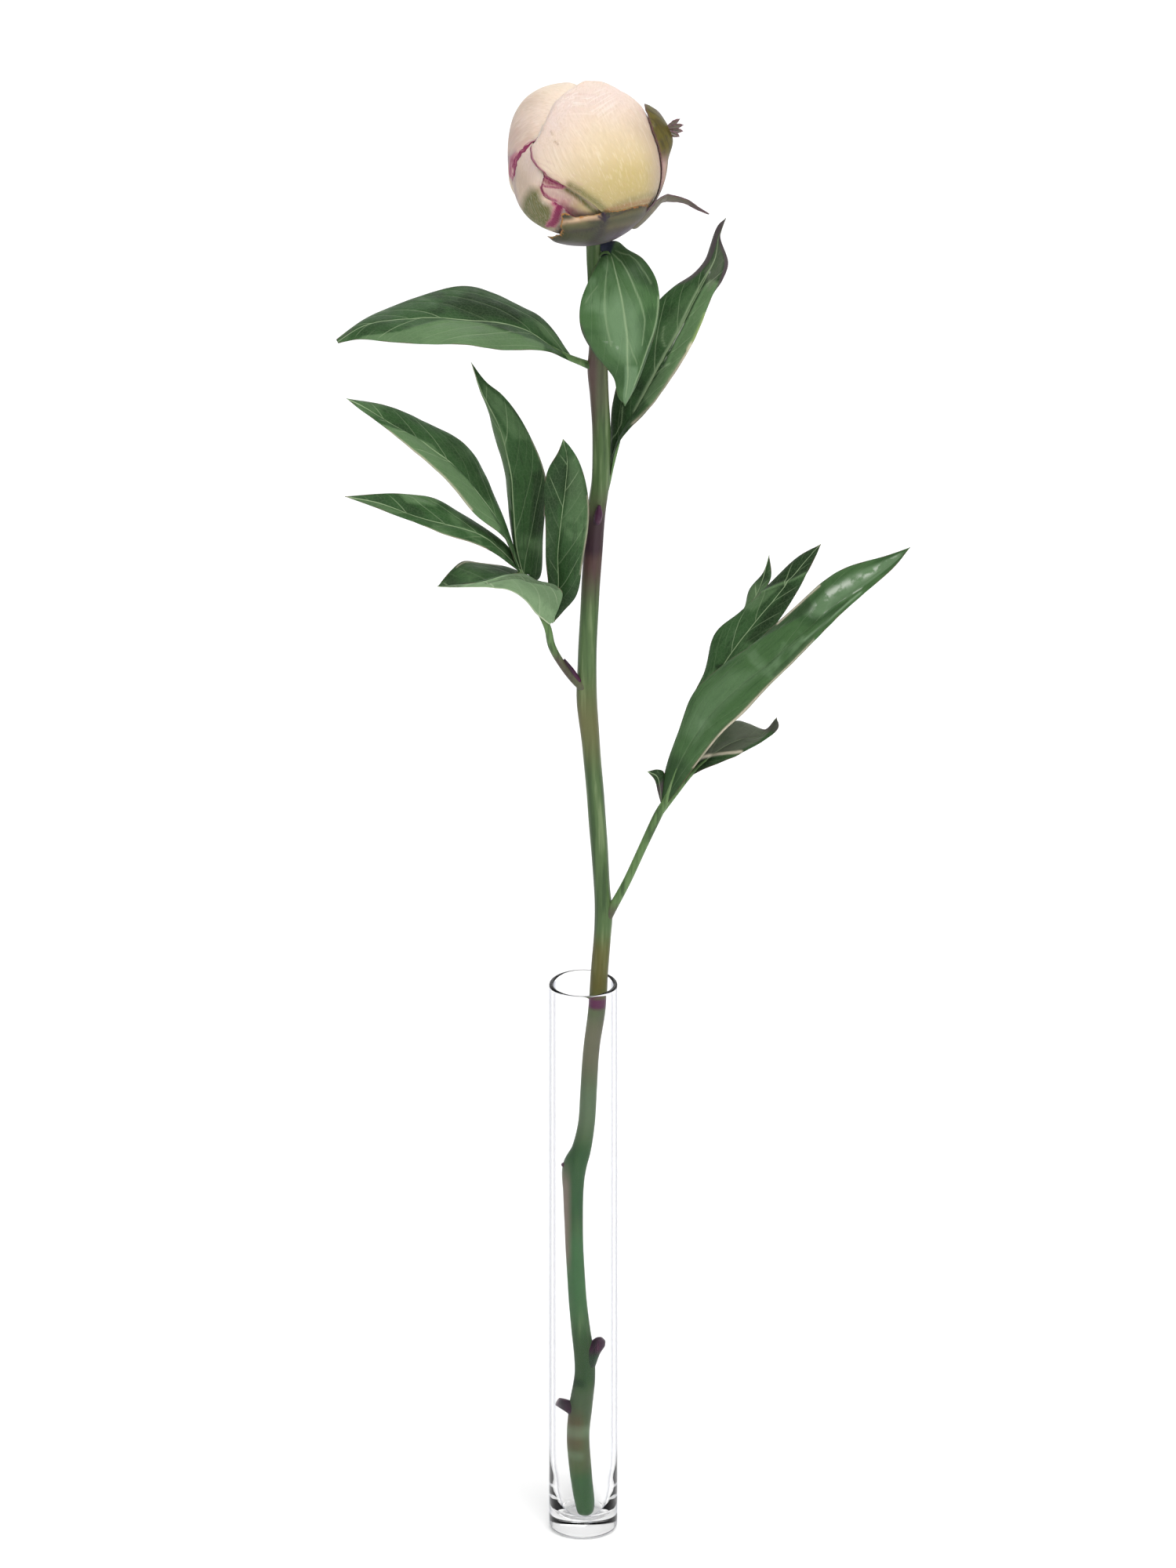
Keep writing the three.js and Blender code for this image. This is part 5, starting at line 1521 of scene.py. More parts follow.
def stroke(ways, line, width):
    """A painted line on the bud: 1 on the line and fading out by its width in mm on each side."""
    return line_mark(ways * BUD_RADIUS, direction(line) * BUD_RADIUS, width)


def patch(ways, outline, soft):
    """A painted area on the bud: 1 inside an outline of directions, 0 outside, and soft at the border."""
    corners = direction(outline)
    middle = unit(corners.mean(0))
    right = unit(np.cross([0.0, 0.0, 1.0], middle))
    chart = np.stack([right, np.cross(middle, right)], 1) * BUD_RADIUS
    return np.where(ways @ middle > 0, area(ways @ chart, corners @ chart, soft), 0.0)


def turned(start, end, share):
    """The direction a share of the way from one direction to another, and the angle between them."""
    angle = np.maximum(np.arccos(np.clip((start * end).sum(1), -1, 1)), LEAST_ANGLE)
    side = unit(end - start * (start * end).sum(1, keepdims=True))
    return start * np.cos(angle * share)[:, None] + side * np.sin(angle * share)[:, None], angle


half_way = turned(direction([[0, 0]]), direction([[90, 0]]), 0.5)[0]
print("half way from the front to the right:", half_way.round(2))

# %% The rule that shapes a petal
# Of these spots, the greyish brown one paints shade and the light one paints light.
PETAL_SPOTS = (
    "blush", "wine", "hem", "moss", "pink", "rose", "yellow", "olive", "dusk", "green", "brown", "purple",
    "crinkle", "light",
)
PRESSED = 2.2
TIP_MARGIN = 0.4
LEAST_HALF = 3
LONG_FRILLS, SHORT_FRILLS, SHORT_FRILL_SHARE = 74, 131, 0.6
PETAL_WAVES = ((17.0, 0, 0.16), (5.0, 1, 0.05))  # size in mm, what is added to the seed, height in mm


def petal_rule(layer, left, middle, right, marks, areas, creases, press, ragged, seed):
    """The rule for a petal or sepal drawn by its left edge, its middle and its right edge."""

    def edge_line(points, t):
        lifts = [[k, p[2] if len(p) > 2 else 0.0, 0.0] for k, p in enumerate(points)]
        return unit(walk(direction(points), t)), walk(lifts, t)[:, 1]

    def rule(across, along):
        rows = len(np.unique(np.round(along, 6)))
        t = np.linspace(0.0, 1.0, rows)
        row = np.rint(along * (rows - 1)).astype(int)
        (left_way, left_lift), (mid_way, mid_lift), (right_way, right_lift) = (
            edge_line(points, t) for points in (left, middle, right)
        )
        on_left = across < 0
        s = np.abs(across)
        edge = np.where(on_left[:, None], left_way[row], right_way[row])
        edge_lift = np.where(on_left, left_lift[row], right_lift[row])
        half = turned(mid_way[row], edge, s)[1] * BUD_RADIUS
        frills = np.sin(along * LONG_FRILLS + 3 * on_left)
        frills = frills + np.sin(along * SHORT_FRILLS + seed) * SHORT_FRILL_SHARE
        frill = ragged * frills / np.maximum(half, LEAST_HALF)
        ways = turned(mid_way[row], edge, s * (1 + frill * s**4))[0]
        margin = np.minimum((1 - s) * half, (1 - along) * half.max() + TIP_MARGIN)
        lift = mid_lift[row] + (edge_lift - mid_lift[row]) * s**2
        lift = lift - press * np.exp(-((margin / PRESSED) ** 2))
        for size, more, height in PETAL_WAVES:
            lift = lift + height * gentle(ways * BUD_RADIUS, size, seed + more)
        for line, width, height in creases:
            lift = lift + height * stroke(ways, line, width)
        spots = painted(PETAL_SPOTS, len(across), [
            *((kind, strength, stroke(ways, line, width)) for kind, line, width, strength in marks),
            *((kind, strength, patch(ways, outline, soft)) for kind, outline, soft, strength in areas),
        ])
        along_mm = along * np.linalg.norm(np.diff(mid_way, axis=0), axis=1).sum() * BUD_RADIUS
        measures = np.stack([across * half, along_mm, margin], 1)
        return on_bud(ways, lift - layer * LAYER), measures, spots

    return rule


print("spots a petal can have:", PETAL_SPOTS)

# %% One petal or sepal
PETAL_THICKNESS = 0.42
PETAL_THIN_MARGIN = 1.6


def build_petal(
    name, layer, left, middle, right, finish, marks=(), areas=(), creases=(),
    columns=90, rows=80, press=0.8, ragged=0.22, seed=1, thickness=PETAL_THICKNESS,
):
    """A petal or sepal. Marks, areas and creases are directions, a reach in mm and a strength."""
    rule = petal_rule(layer, left, middle, right, marks, areas, creases, press, ragged, seed)
    piece = sheet(name + "_sheet", columns, rows, rule, thickness, [finish], PETAL_THIN_MARGIN)
    mount(piece, name)
    print(name, "faces:", len(piece.data.polygons))


print("one petal's thickness in mm:", PETAL_THICKNESS)

# %% [markdown]
# Petal skin is soft, a little see-through and nearly without gloss. Its ground is a warm cream. Painted
# spots lay pink, yellow, green, brown and magenta over it, mostly through streaks that run along the petal,
# since that is how the cells lie. Some spots are painted light and shade instead: a greyish brown where shade
# falls along borders and low on the bud, and a pale cream along one seam. Light goes in and comes out again
# near by, which is what subsurface is for. The magenta hem and the mossy band follow the petal's margin: the
# stronger their spot, the further in they reach. The packed inner petals keep the form of their solid and
# only take this skin.

# %% Petal skin
HEM_START_MM = 0.35
HEM_REACH_MM, MOSS_REACH_MM = 2.4, 4.4
# The last base paint, greyish brown, is painted shade.
BASE_PAINTS = [("pink", "DFC5BF"), ("yellow", "C6B078"), ("olive", "A29352"), ("dusk", "A58C78")]


def petal_finish():
    """The soft streaked skin that all the petals share."""
    skin = Finish("petal_skin", "E8D0BB", 0.62)
    vector, _, _, margin = skin.measures()
    where = skin.place()[0]
    streaks = skin.noise(skin.stretch(vector, (1.1, 0.07, 1.0)), 1.0, 4.0, 0.3)
    fibres = skin.noise(skin.stretch(vector, (3.6, 0.16, 1.0)), 1.0)
    strands = skin.noise(skin.stretch(vector, (1.3, 0.028, 1.0)), 1.0, 2.0, 0.2)
    crinkles = skin.noise(skin.stretch(vector, (0.09, 0.9, 1.0)), 1.0, 2.0, 0.5)
    cloud = skin.noise(where, 70.0)
    even = skin.fade(cloud, 0.3, 0.62, 0.86, 1.0)
    broken = skin.fade(streaks, 0.3, 0.62, 0.75, 1.0)
    torn = skin.fade(fibres, 0.36, 0.6, 0.6, 1.0)
    skin.stain("F1DBC9", skin.fade(cloud, 0.5, 0.72, 0.0, 0.6))
    skin.stain("D6BCA6", skin.fade(streaks, 0.54, 0.75, 0.0, 0.4))
    for spot, digits in BASE_PAINTS:
        skin.stain(digits, skin.times(skin.spot(spot), even))
    skin.stain("C39A96", skin.times(skin.spot("rose"), broken))
    skin.stain("565A12", skin.times(skin.spot("green"), skin.fade(streaks, 0.25, 0.6, 0.85, 1.0)))
    skin.stain("90683C", skin.times(skin.spot("brown"), torn))
    skin.stain("80667A", skin.times(skin.spot("purple"), broken))
    skin.stain("C9B296", skin.fade(strands, 0.5, 0.74, 0.0, 0.3))
    skin.stain("FFF4E6", skin.fade(strands, 0.5, 0.26, 0.0, 0.16))
    skin.stain("BFA98A", skin.fade(fibres, 0.56, 0.72, 0.0, 0.4))
    skin.stain("F4E2D8", skin.times(skin.spot("crinkle"), skin.fade(crinkles, 0.54, 0.6, 0.0, 0.5)))
    # Painted light: a pale cream that lifts the shade in the seam between two petals.
    skin.stain("FFF2EA", skin.times(skin.spot("light"), 0.85))
    skin.stain("9A4458", skin.times(skin.spot("wine"), broken))
    inward = skin.plus(skin.times(margin, -1.0), -HEM_START_MM)
    hem = skin.plus(skin.times(skin.times(skin.spot("hem"), torn), HEM_REACH_MM), inward)
    moss = skin.plus(skin.times(skin.times(skin.spot("moss"), broken), MOSS_REACH_MM), inward)
    flush = skin.times(skin.spot("blush"), torn)
    skin.stain("6E6E34", skin.fade(moss, -0.34, 0.7, 0.0, 0.92))
    skin.stain("B5647C", skin.fade(hem, -0.34, 0.1, 0.0, 0.7))
    skin.stain("B5647C", skin.fade(flush, 0.05, 0.45, 0.0, 0.8))
    skin.stain("86204F", skin.fade(hem, -0.05, 0.2))
    skin.stain("86204F", skin.fade(flush, 0.4, 0.85))
    skin.raised(skin.times(skin.spot("crinkle"), crinkles), 0.5, 0.4)
    skin.raised(fibres, 0.10, 0.35)
    skin.raised(streaks, 0.25, 0.3)
    skin.raised(skin.noise(where, 900.0), 0.03, 0.25)
    return skin.done(
        Subsurface_Weight=0.35, Subsurface_Radius=(1.0, 0.55, 0.35), Subsurface_Scale=1.6 * MM,
        Specular_IOR_Level=0.3, Sheen_Weight=0.12, Sheen_Roughness=0.6,
    )


petal_skin = petal_finish()
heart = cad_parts["bud_heart"]
heart.data.materials.clear()
heart.data.materials.append(petal_skin)
print("petal nodes:", len(petal_skin.node_tree.nodes))

# %% [markdown]
# ### The front guard petal
# The largest petal wraps the whole front and right of the bud. Its lower left margin is torn and magenta, and
# below it the colour turns to brown and then green. Near the top it has one slit-like fold and fine wrinkles.
# They are pressed into the sheet along short lines, as a fingernail would.

# %% Front guard petal
build_petal(
    "petal_front", layer=0,
    left=[
        [25, -78], [16, -45], [13, -18], [5, -8], [-10, 2], [-27, 9], [-41, 13.5], [-54, 22], [-51, 34],
        [-52, 46], [-60, 62], [-80, 76], [-150, 78], [172, 64],
    ],
    middle=[[45, -78], [45, -50], [40, -25], [32, 0], [24, 25], [15, 48], [5, 70], [150, 84], [168, 62]],
    right=[[75, -78], [80, -50], [88, -25], [94, 0], [98, 25], [100, 45], [106, 60], [130, 64], [164, 61]],
    finish=petal_skin,
    marks=[
        ("pink", [[-40, 52], [-20, 66], [40, 68], [90, 50]], 14.0, 0.8),
        ("pink", [[-46, 30], [-36, 48]], 7.0, 0.6),
        ("rose", [[84, 44], [82, 20], [80, 0]], 2.2, 0.5),
        ("rose", [[-48, 22], [-30, 21], [-8, 14]], 0.3, 0.35),
        ("rose", [[-40, 13], [-23, 13], [-3, 8]], 0.35, 0.45),
        ("rose", [[-44, 19], [-33, 18], [-20, 12]], 0.3, 0.4),
        ("rose", [[-30, 11], [-16, 8], [-6, 3]], 1.3, 0.45),
        ("moss", [[-20, 6.5], [-6, 0], [5, -8], [13, -17]], 4.6, 1.0),
        ("green", [[-12, 7], [-4, 3], [8, -6], [16, -14]], 1.6, 0.8),
        ("green", [[-8, 8], [-1, 4], [6, -1]], 0.8, 0.3),
        ("green", [[19, -15], [30, -14.5], [44, -16], [60, -20]], 0.9, 0.4),
        ("brown", [[-29, 9.5], [-20, 7], [-12, 4.5]], 0.45, 0.7),
        ("brown", [[16, -13], [26, -12.4], [34, -12], [50, -14], [64, -18]], 1.1, 1.0),
        ("green", [[22, -10], [36, -8], [54, -10], [66, -14]], 1.3, 0.35),
        ("brown", [[-36, 42], [-33, 40]], 0.3, 0.6),
        ("brown", [[-29, 36], [-25, 34]], 0.35, 0.75),
        ("rose", [[-60, 62], [-66, 69], [-79, 77]], 0.6, 0.7),
        ("rose", [[-50, 72], [-22, 77], [30, 76]], 0.45, 0.3),
        ("hem", [[-54, 22], [-47, 17], [-41, 14]], 3.6, 0.7),
        ("hem", [[-38, 13], [-30, 10], [-24, 8.5]], 3.0, 0.85),
        ("blush", [[-52, 27], [-47, 19.5], [-41, 15.5], [-33, 12.5]], 0.75, 0.85),
        # Painted light along the seam with the left petal, where shade falls in the gap.
        ("light", [[-54, 24], [-51, 34], [-52, 46], [-60, 62], [-77, 75.5]], 0.9, 1.0),
        ("crinkle", [[-40, 70], [-10, 74], [30, 72]], 7.0, 1.0),
    ],
    areas=[
        ("yellow", [
            [2, 28], [18, 40], [52, 36], [88, 26], [92, -26], [40, -32], [8, -24], [-12, 2],
        ], 24.0, 1.0),
        ("olive", [
            [-2, 12], [14, 12], [42, 4], [84, 2], [88, -26], [40, -32], [10, -24], [-12, 0],
        ], 15.0, 0.62),
        # Painted shade along the right border and low on the petal.
        ("dusk", [[58, 40], [78, 42], [92, 10], [92, -24], [56, -24], [58, 0], [62, 20]], 11.0, 0.62),
        ("dusk", [[30, -6], [60, -8], [76, -20], [40, -20], [22, -15]], 8.0, 0.3),
    ],
    creases=[
        ([[-59, 62], [-65, 70], [-81, 77]], 0.45, -0.55),
        ([[-56, 63], [-61, 71], [-76, 78.5]], 0.7, 0.35),
        ([[-46, 70], [-26, 71], [0, 75], [31, 75]], 0.5, -0.16),
        ([[-56, 76], [-28, 75], [3, 79], [56, 75]], 0.5, -0.14),
        ([[-38, 61], [-24, 66], [-3, 69], [34, 67]], 0.6, -0.14),
    ],
    columns=170, rows=150, press=1.9, ragged=0.35, seed=3,
)

# %% [markdown]
# ### The left guard petal
# It covers the left and the back of the top. Its lower margin is a broad magenta band that fades into a
# purplish grey round the left side.

# %% Left guard petal
build_petal(
    "petal_left", layer=1,
    left=[[-175, -78], [-176, -40], [-176, 0], [-174, 35], [-168, 62], [-120, 82], [-20, 74]],
    middle=[[-130, -78], [-122, -45], [-118, -10], [-115, 20], [-105, 45], [-85, 65], [-20, 73]],
    right=[
        [-112, -78], [-104, -50], [-87, -22], [-72, 0], [-68, 11], [-59, 23], [-46, 40], [-32, 55],
        [-20, 72],
    ],
    finish=petal_skin,
    marks=[
        ("hem", [[-46, 40], [-53, 31], [-57, 26]], 4.0, 0.35),
        ("hem", [[-60, 22], [-68, 12], [-71, 4], [-74, -4]], 5.0, 0.85),
        ("blush", [[-66, 16], [-72, 10], [-74, 4]], 1.0, 0.9),
        ("blush", [[-68, 14], [-76, 7], [-80, -4]], 1.7, 0.75),
        ("rose", [[-57, 28], [-64, 23], [-72, 18]], 2.4, 0.55),
        ("purple", [[-78, 4], [-79, -4], [-80, -14]], 1.6, 0.7),
        ("pink", [[-66, 44], [-74, 30], [-82, 20]], 8.0, 0.5),
        ("rose", [[-76, 26], [-84, 14]], 5.0, 0.3),
        ("pink", [[-150, 30], [-160, 0]], 12.0, 0.5),
        ("green", [[-120, -50], [-150, -40]], 10.0, 0.7),
        ("blush", [[-100, -55], [-130, -60], [-165, -50]], 2.5, 0.5),
        # Painted shade near the margin.
        ("dusk", [[-84, 50], [-96, 30], [-98, 5]], 4.0, 0.35),
        ("dusk", [[-62, 32], [-74, 26], [-84, 20]], 5.0, 0.35),
    ],
    areas=[
        ("purple", [[-94, 6], [-86, 9], [-70, 17], [-73, 8], [-80, 2], [-94, -2]], 3.0, 0.75),
        ("green", [[-84, -26], [-74, -34], [-90, -50], [-110, -60], [-110, -34]], 7.0, 0.9),
    ],
    press=1.0, columns=130, rows=120, seed=11,
)

# %% [markdown]
# ### The lower petals
# Below the guard petals others show: one at the lower left, cream above and green below with a magenta
# margin, a small pinkish one between it and the front petal, one round the right and one low at the back.

# %% Lower left petal
build_petal(
    "petal_low_left", layer=2,
    left=[[-115, -76], [-125, -45], [-125, -10], [-115, 18], [-95, 34], [-75, 40]],
    middle=[[-75, -77], [-74, -45], [-74, -15], [-74, 10], [-74, 28], [-74, 40]],
    right=[
        [-38, -76], [-31, -45], [-25, -32], [-19, -20], [-25, -13], [-36, -10], [-40, -3], [-38, 7],
        [-44, 20], [-73, 39],
    ],
    finish=petal_skin,
    marks=[
        ("pink", [[-60, 20], [-50, 14]], 7.0, 0.7),
        ("hem", [[-44, 16], [-38, 7], [-40, -3]], 4.0, 0.3),
        ("hem", [[-40, -3], [-36, -10], [-27, -13]], 3.0, 0.5),
        ("blush", [[-27, -12.5], [-22, -15]], 1.3, 1.0),
        ("blush", [[-23, -15], [-26, -22], [-30, -30], [-38, -38]], 1.6, 1.35),
        ("blush", [[-28, -28], [-38, -37], [-46, -42]], 0.8, 1.1),
        ("rose", [[-29, -15], [-32, -26], [-40, -36]], 2.4, 0.9),
        ("rose", [[-42, 2], [-40, -7]], 1.0, 0.4),
        ("purple", [[-74, 2], [-76, -14], [-75, -24]], 2.4, 0.55),
    ],
    areas=[
        ("green", [
            [-50, -5], [-42, -3], [-38, -13], [-30, -15], [-30, -28], [-36, -42], [-70, -54], [-86, -40],
            [-70, -26], [-58, -14],
        ], 3.6, 1.0),
        # Painted shade over the middle and lower part of the petal.
        ("dusk", [[-76, 12], [-52, 8], [-42, -4], [-44, -20], [-80, -30]], 10.0, 0.55),
    ],
    press=1.0, columns=100, rows=100, seed=5,
)

# %% Small lower front petal
build_petal(
    "petal_low_front", layer=3.15,
    left=[[-60, -76], [-55, -40], [-50, -10], [-44, 12], [-28, 22]],
    middle=[[-5, -77], [-8, -40], [-12, -10], [-18, 12], [-27, 22]],
    right=[[50, -76], [42, -40], [25, -10], [5, 8], [-26, 21]],
    finish=petal_skin,
    marks=[
        ("blush", [[-42, 9], [-36, 7], [-28, 5], [-18, 3]], 0.6, 1.0),
        ("blush", [[-42, 2], [-37, -0.5], [-30, 0.5], [-20, 1.5]], 0.5, 0.85),
        ("blush", [[-41, -2], [-39, -6], [-34, -9], [-26, -10.5]], 0.8, 0.8),
        ("rose", [[-36, 1], [-24, -1], [-14, -4]], 0.9, 0.8),
        ("rose", [[-35, -8], [-26, -10], [-17, -12]], 1.6, 0.9),
        ("blush", [[-22, -15], [-17, -20], [-13, -24], [-8, -28]], 0.7, 1.0),
        ("wine", [[-20, -14], [-14, -19]], 2.4, 0.8),
        ("green", [[-17, 1], [-7, -4], [2, -11], [9, -17]], 1.1, 1.0),
        ("brown", [[-20, 0.5], [-12, -3], [-2, -10]], 0.6, 0.6),
        ("brown", [[-8, -22], [2, -20], [12, -18]], 1.2, 0.5),
    ],
    areas=[
        ("wine", [[-46, 11], [-34, 9], [-24, 7], [-13, 3], [-24, 1.5], [-34, 1.5], [-42, 3]], 1.6, 1.0),
        ("rose", [[-42, 0], [-24, 0], [-10, -5], [-8, -12], [-20, -15], [-36, -14]], 5.0, 0.9),
        ("yellow", [[-16, -6], [-4, -7], [8, -14], [14, -19], [2, -22], [-12, -17]], 4.0, 0.9),
        ("rose", [[-22, -14], [-6, -15], [10, -20], [-2, -28], [-14, -26]], 4.0, 0.85),
    ],
    creases=[([[4, -17], [12, -19]], 6.0, 2.2), ([[-30, -8], [-20, -11]], 1.6, 0.5)],
    press=0.6, columns=80, rows=80, seed=8,
)

# %% Right and low back petals
build_petal(
    "petal_right", layer=2,
    left=[[70, -77], [70, -45], [68, -10], [70, 25], [78, 50], [100, 70], [150, 76]],
    middle=[[125, -77], [128, -45], [130, -10], [132, 25], [135, 50], [145, 68], [151, 75]],
    right=[[180, -77], [-172, -45], [-165, -10], [-163, 25], [-168, 50], [175, 68], [152, 74]],
    finish=petal_skin,
    marks=[
        ("pink", [[130, 40], [140, 0]], 12.0, 0.7),
        ("yellow", [[120, -20], [150, -30]], 10.0, 0.5),
        ("blush", [[-163, 25], [-165, -5]], 1.5, 0.8),
    ],
    seed=14,
)
build_petal(
    "petal_low_back", layer=0,
    left=[[135, -77], [132, -50], [132, -22], [142, 2], [170, 14]],
    middle=[[180, -77], [-178, -50], [-177, -22], [-179, 0], [172, 13]],
    right=[[-130, -77], [-124, -50], [-126, -22], [-142, 2], [174, 12]],
    finish=petal_skin,
    marks=[
        ("green", [[170, -40], [-160, -45]], 9.0, 0.7),
        ("yellow", [[175, -10], [-170, -20]], 8.0, 0.5),
        ("blush", [[142, 1], [171, 13], [-144, 2]], 1.3, 0.9),
    ],
    columns=70, rows=60, seed=17,
)

# %% [markdown]
# ## Sepals and bract
# The calyx holds the bud from below. Its sepals are thicker than petals, grey-green with purple, and end in a
# thin brown rim. The front one has a dark point on its rim and a spur on its left. The right one
# stands up the side of the bud and ends in a small leafy tuft, and a narrow bract bends away below it.

# %% Sepal skin
SEPAL_PAINTS = [
    ("yellow", "7A7048"), ("green", "44472A"), ("purple", "695E6B"), ("pink", "C9A98A"), ("rose", "AF8F88"),
]
SEPAL_RIM_MM = 0.8


def sepal_finish(name, ground, dark, light, rim, rust=0.0):
    """A sepal's skin: streaked, cloudy, with a coloured rim and, where there is rust, specks inside it."""
    skin = Finish(name, ground, 0.5)
    vector, _, _, margin = skin.measures()
    where = skin.place()[0]
    streaks = skin.noise(skin.stretch(vector, (0.9, 0.10, 1.0)), 1.0, 4.0, 0.4)
    cloud = skin.noise(where, 95.0)
    fine = skin.noise(where, 1100.0)
    patchy = skin.fade(cloud, 0.3, 0.6, 0.7, 1.0)
    torn = skin.fade(fine, 0.35, 0.6, 0.5, 1.0)
    specks = skin.fade(skin.noise(where, 700.0, 2.0), 0.5, 0.6)
    skin.stain(dark, skin.fade(streaks, 0.48, 0.64, 0.0, 0.85))
    skin.stain(light, skin.fade(streaks, 0.46, 0.28, 0.0, 0.6))
    skin.stain(dark, skin.fade(cloud, 0.5, 0.64, 0.0, 0.6))
    for spot, digits in SEPAL_PAINTS:
        skin.stain(digits, skin.times(skin.spot(spot), patchy))
    on_rim = skin.fade(margin, SEPAL_RIM_MM, SEPAL_RIM_MM * 0.25)
    rusty = skin.fade(margin, SEPAL_RIM_MM * 2.2, SEPAL_RIM_MM * 0.4, 0.0, rust)
    skin.stain(rim, skin.times(on_rim, torn))
    skin.stain("B07438", skin.times(rusty, specks))
    skin.stain("2A1E2E", skin.spot("brown"))
    skin.stain("A03A62", skin.times(skin.spot("blush"), torn))
    skin.raised(streaks, 0.3, 0.5)
    skin.raised(fine, 0.04, 0.35)
    return skin.done(Specular_IOR_Level=0.35, Subsurface_Weight=0.08, Subsurface_Scale=1.0 * MM)


# The calyx skin's dark ground is partly the sepals' own grey-olive and partly painted shade under the bud.
calyx_skin = sepal_finish("calyx_skin", "393726", "25241C", "58523A", "A07E48", rust=0.85)
right_sepal_skin = sepal_finish("right_sepal_skin", "584F18", "423A18", "6E6522", "5C3A3E")
bract_skin = sepal_finish("bract_skin", "6C6656", "4E4744", "8A7F68", "5E4350")
tuft_skin = sepal_finish("tuft_skin", "7A7668", "565052", "9C967C", "6A4A54")
print("calyx nodes:", len(calyx_skin.node_tree.nodes))

# %% Front sepal
build_petal(
    "sepal_front", layer=-1,
    left=[
        [-75, -84], [-62, -66], [-55, -54], [-34, -45], [-24, -38], [-21, -27], [-17, -15], [-8, -18],
        [0, -16.5], [7, -16], [13, -14],
    ],
    middle=[[0, -86], [6, -66], [10, -52], [12, -42], [13, -34], [14, -26], [14, -19], [14, -13]],
    right=[[75, -84], [72, -62], [72, -45], [68, -32], [60, -21], [46, -16], [31, -15], [15, -14]],
    finish=calyx_skin,
    marks=[
        ("pink", [[-21, -26], [-15, -21], [-8, -19.5], [2, -17.5], [10, -17]], 0.9, 0.95),
        ("yellow", [[-20, -30], [-13, -25], [-2, -22.5]], 2.4, 0.8),
        ("green", [[-16, -29], [-5, -25], [8, -23]], 1.6, 0.7),
        ("yellow", [[20, -19], [38, -19], [54, -22]], 1.6, 0.6),
        ("green", [[22, -23], [40, -23], [56, -27]], 3.0, 0.8),
        ("purple", [[62, -34], [46, -42], [32, -45]], 7.0, 0.8),
        ("purple", [[24, -52], [0, -58], [-24, -56]], 5.0, 0.5),
        ("brown", [[12, -13], [14, -16], [14.5, -19]], 0.8, 1.0),
        ("brown", [[10, -17], [14, -18.5], [17.5, -17]], 0.55, 0.9),
        ("brown", [[20, -17], [30, -16], [44, -16], [58, -20]], 0.3, 0.5),
        ("green", [[-40, -46], [-20, -42], [4, -40], [20, -44]], 6.0, 0.8),
        ("brown", [[-20, -33], [-6, -29], [6, -28]], 1.0, 0.35),
        ("brown", [[24, -30], [36, -33], [50, -36]], 1.2, 0.25),
        ("yellow", [[22, -27], [40, -28], [54, -31]], 3.0, 0.7),
        ("brown", [[14, -20], [14.5, -25]], 0.25, 0.6),
        ("brown", [[15, -22], [13, -32], [10, -42], [8, -52]], 2.0, 0.45),
        ("brown", [[-36, -42], [-31, -38]], 0.9, 0.9),
        ("blush", [[-34, -44], [-27, -40], [-22, -32]], 0.5, 0.4),
    ],
    creases=[([[14, -15], [14, -20]], 1.0, 0.5), ([[14, -22], [15, -40]], 0.8, 0.3)],
    press=0.9, columns=110, rows=100, seed=21, thickness=0.55,
)

# %% Right sepal
build_petal(
    "sepal_right", layer=-1,
    left=[[100, -79], [88, -50], [82, -25], [80, 2, 0.2], [80, 14, 0.2], [79, 30, 0.2], [90, 43, 0.2]],
    middle=[[110, -79], [104, -50], [101, -25], [99, 2, 1.6], [98, 14, 4.5], [98, 26, 3.6], [97, 44, 0.3]],
    right=[
        [125, -79], [124, -50], [122, -25], [120, 2, 1.4], [118, 14, 3.9], [114, 26, 3.6], [102, 43, 0.4],
    ],
    finish=right_sepal_skin,
    marks=[
        ("rose", [[80, 2], [80, -8], [80, -22]], 3.2, 0.95),
        ("blush", [[77, 4], [78, -4], [79, -12]], 0.5, 0.7),
        ("pink", [[84, 0], [84, -14]], 1.6, 0.7),
        ("purple", [[100, -40], [110, -60]], 8.0, 0.6),
        ("purple", [[104, 30], [108, 14], [110, 4]], 1.8, 0.6),
    ],
    columns=60, rows=90, press=0.7, seed=23, thickness=0.5,
)

# %% [markdown]
# The tuft at the right sepal's end is a stunted leaf of a few pointed lobes, which spread like fingers. They
# are leaflets too, only tiny, so the leaflet rule shapes them.

# %% The tuft of the right sepal
TUFT_LOBES = [  # name, base and tip as seen, and half of the width in mm
    ("up", (30.3, 510.7, 6.0), (35.3, 514.1, 4.8), 0.85),
    ("high", (30.3, 510.5, 6.1), (36.6, 511.9, 4.2), 0.95),
    ("out", (30.4, 510.0, 6.0), (36.5, 509.6, 5.6), 1.0),
    ("low", (30.6, 509.6, 5.8), (35.2, 507.6, 4.6), 1.05),
    ("down", (30.8, 509.9, 5.7), (33.2, 507.4, 5.3), 0.8),
]
LOBE_STEPS = [(0.0, 0.55), (0.3, 0.8), (0.6, 1.0), (0.78, 0.75), (1.0, 0.0)]  # along, of the half width
LOBE_COLUMNS, LOBE_ROWS = 24, 36
LOBE_THICKNESS, LOBE_THIN_MARGIN = 0.35, 0.5
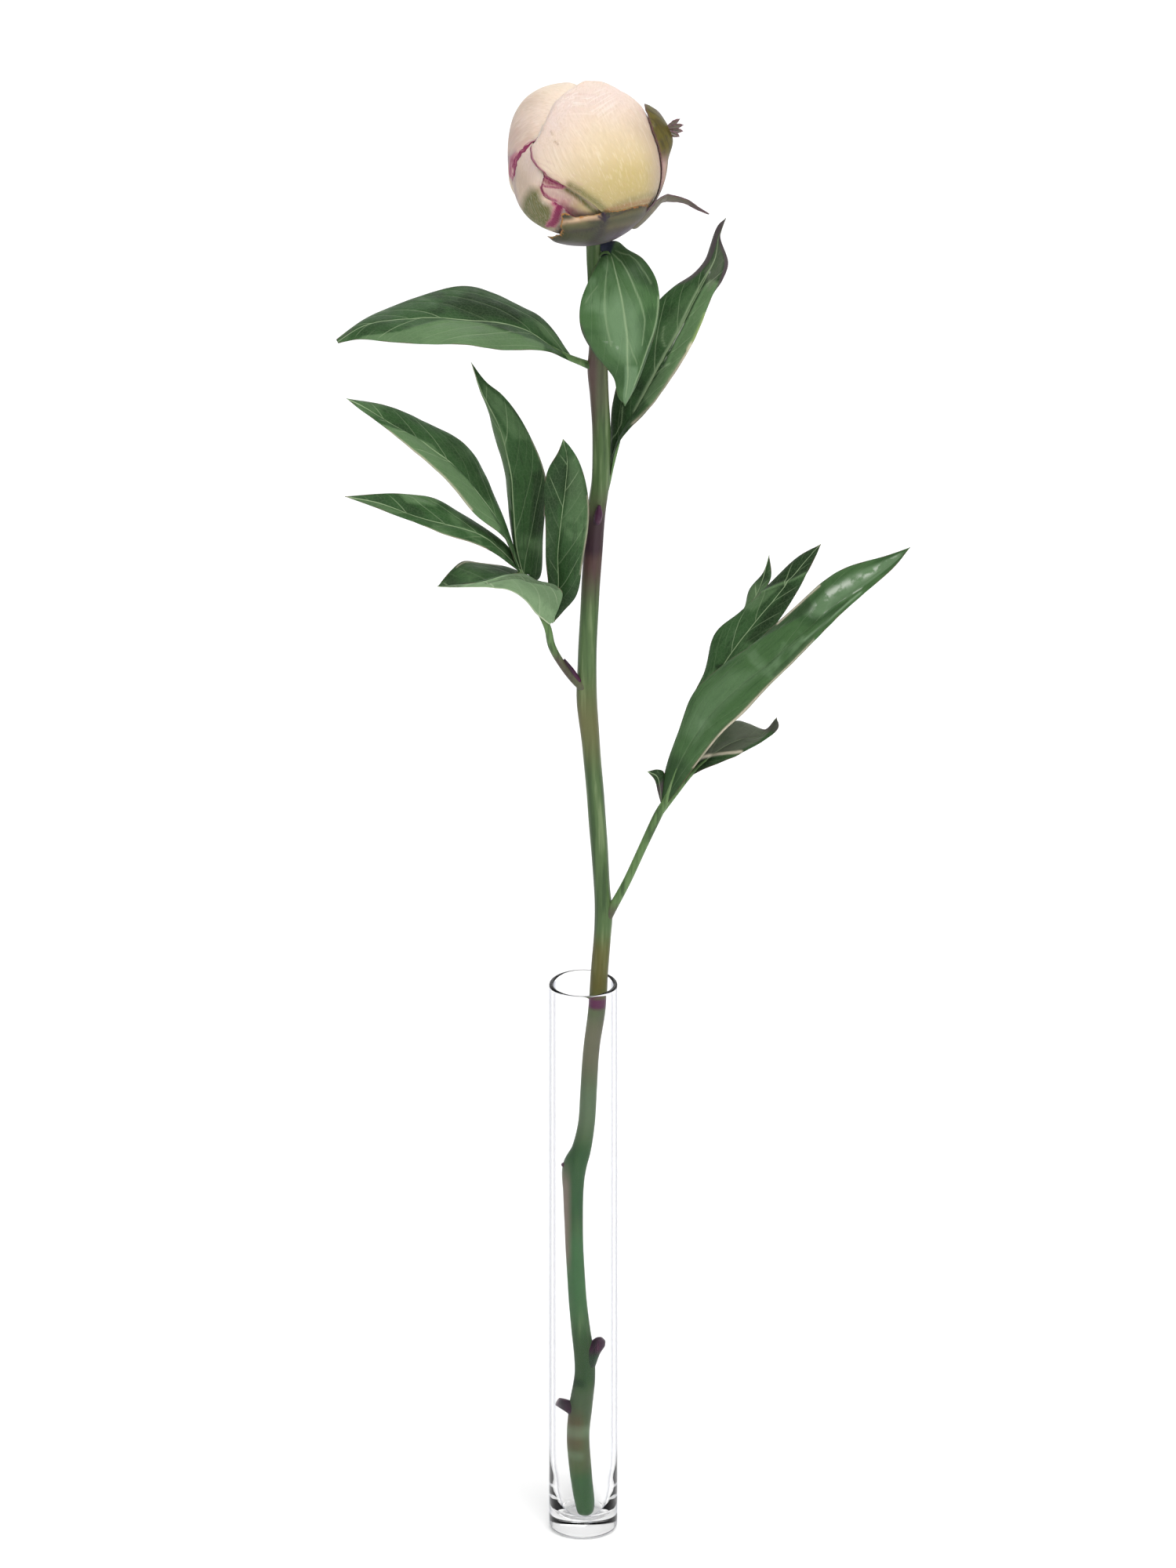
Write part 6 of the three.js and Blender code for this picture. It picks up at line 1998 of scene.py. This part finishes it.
LOBE_SHAPE = dict(arch=0.25, wave=0.15, waves=3.5, steps=(2.0, 3.0), seed=40, roll=0.1)


def lobe_lines(base, tip, half):
    """The left edge, rib and right edge of a pointed lobe between two places as seen."""
    base, tip = np.array(base), np.array(tip)
    side = unit(np.cross(tip - base, [0.0, 0.0, 1.0])) * half
    return [[list(base + k * (tip - base) - sign * w * side) for k, w in LOBE_STEPS] for sign in (1, 0, -1)]


for lobe_name, lobe_base, lobe_tip, lobe_half in TUFT_LOBES:
    lobe_rule = leaflet_rule(*lobe_lines(lobe_base, lobe_tip, lobe_half), **LOBE_SHAPE)
    lobe = sheet(
        "sepal_tuft_" + lobe_name, LOBE_COLUMNS, LOBE_ROWS, lobe_rule, LOBE_THICKNESS, [tuft_skin],
        LOBE_THIN_MARGIN,
    )
    mount(lobe, "sepal_right")
print("lobes in the tuft:", len(TUFT_LOBES))

# %% Bract and back sepal
build_petal(
    "bract", layer=-1.9,
    left=[
        [50, -41, -0.8], [54, -33, -0.8], [58, -24, -0.8], [66, -17.8, -0.4], [76, -15.4, 2],
        [80, -16.2, 9], [82, -18.9, 14], [82.5, -20.5, 18.6],
    ],
    middle=[
        [64, -44], [67, -38], [70, -30], [74, -22, 0.5], [79, -19.4, 2], [82, -18.4, 9], [83, -20.2, 14],
        [83, -20.8, 18.6],
    ],
    right=[
        [76, -46], [80, -42], [83, -35], [85, -27.5, 0.8], [84, -24, 2.6], [84, -20.8, 9], [84, -21.5, 14],
        [83.5, -21.1, 18.6],
    ],
    finish=bract_skin, columns=40, rows=110, press=0.15, ragged=0.08, seed=26, thickness=0.5,
)
build_petal(
    "sepal_back", layer=-1,
    left=[[150, -79], [150, -55], [152, -35], [162, -18], [180, -10]],
    middle=[[-170, -79], [-172, -55], [-173, -35], [-175, -20], [-178, -11]],
    right=[[-110, -79], [-120, -55], [-130, -35], [-148, -20], [-176, -12]],
    finish=calyx_skin,
    marks=[("purple", [[-160, -50], [-140, -40]], 8.0, 0.6)],
    columns=70, rows=60, seed=29, thickness=0.55,
)

# %% [markdown]
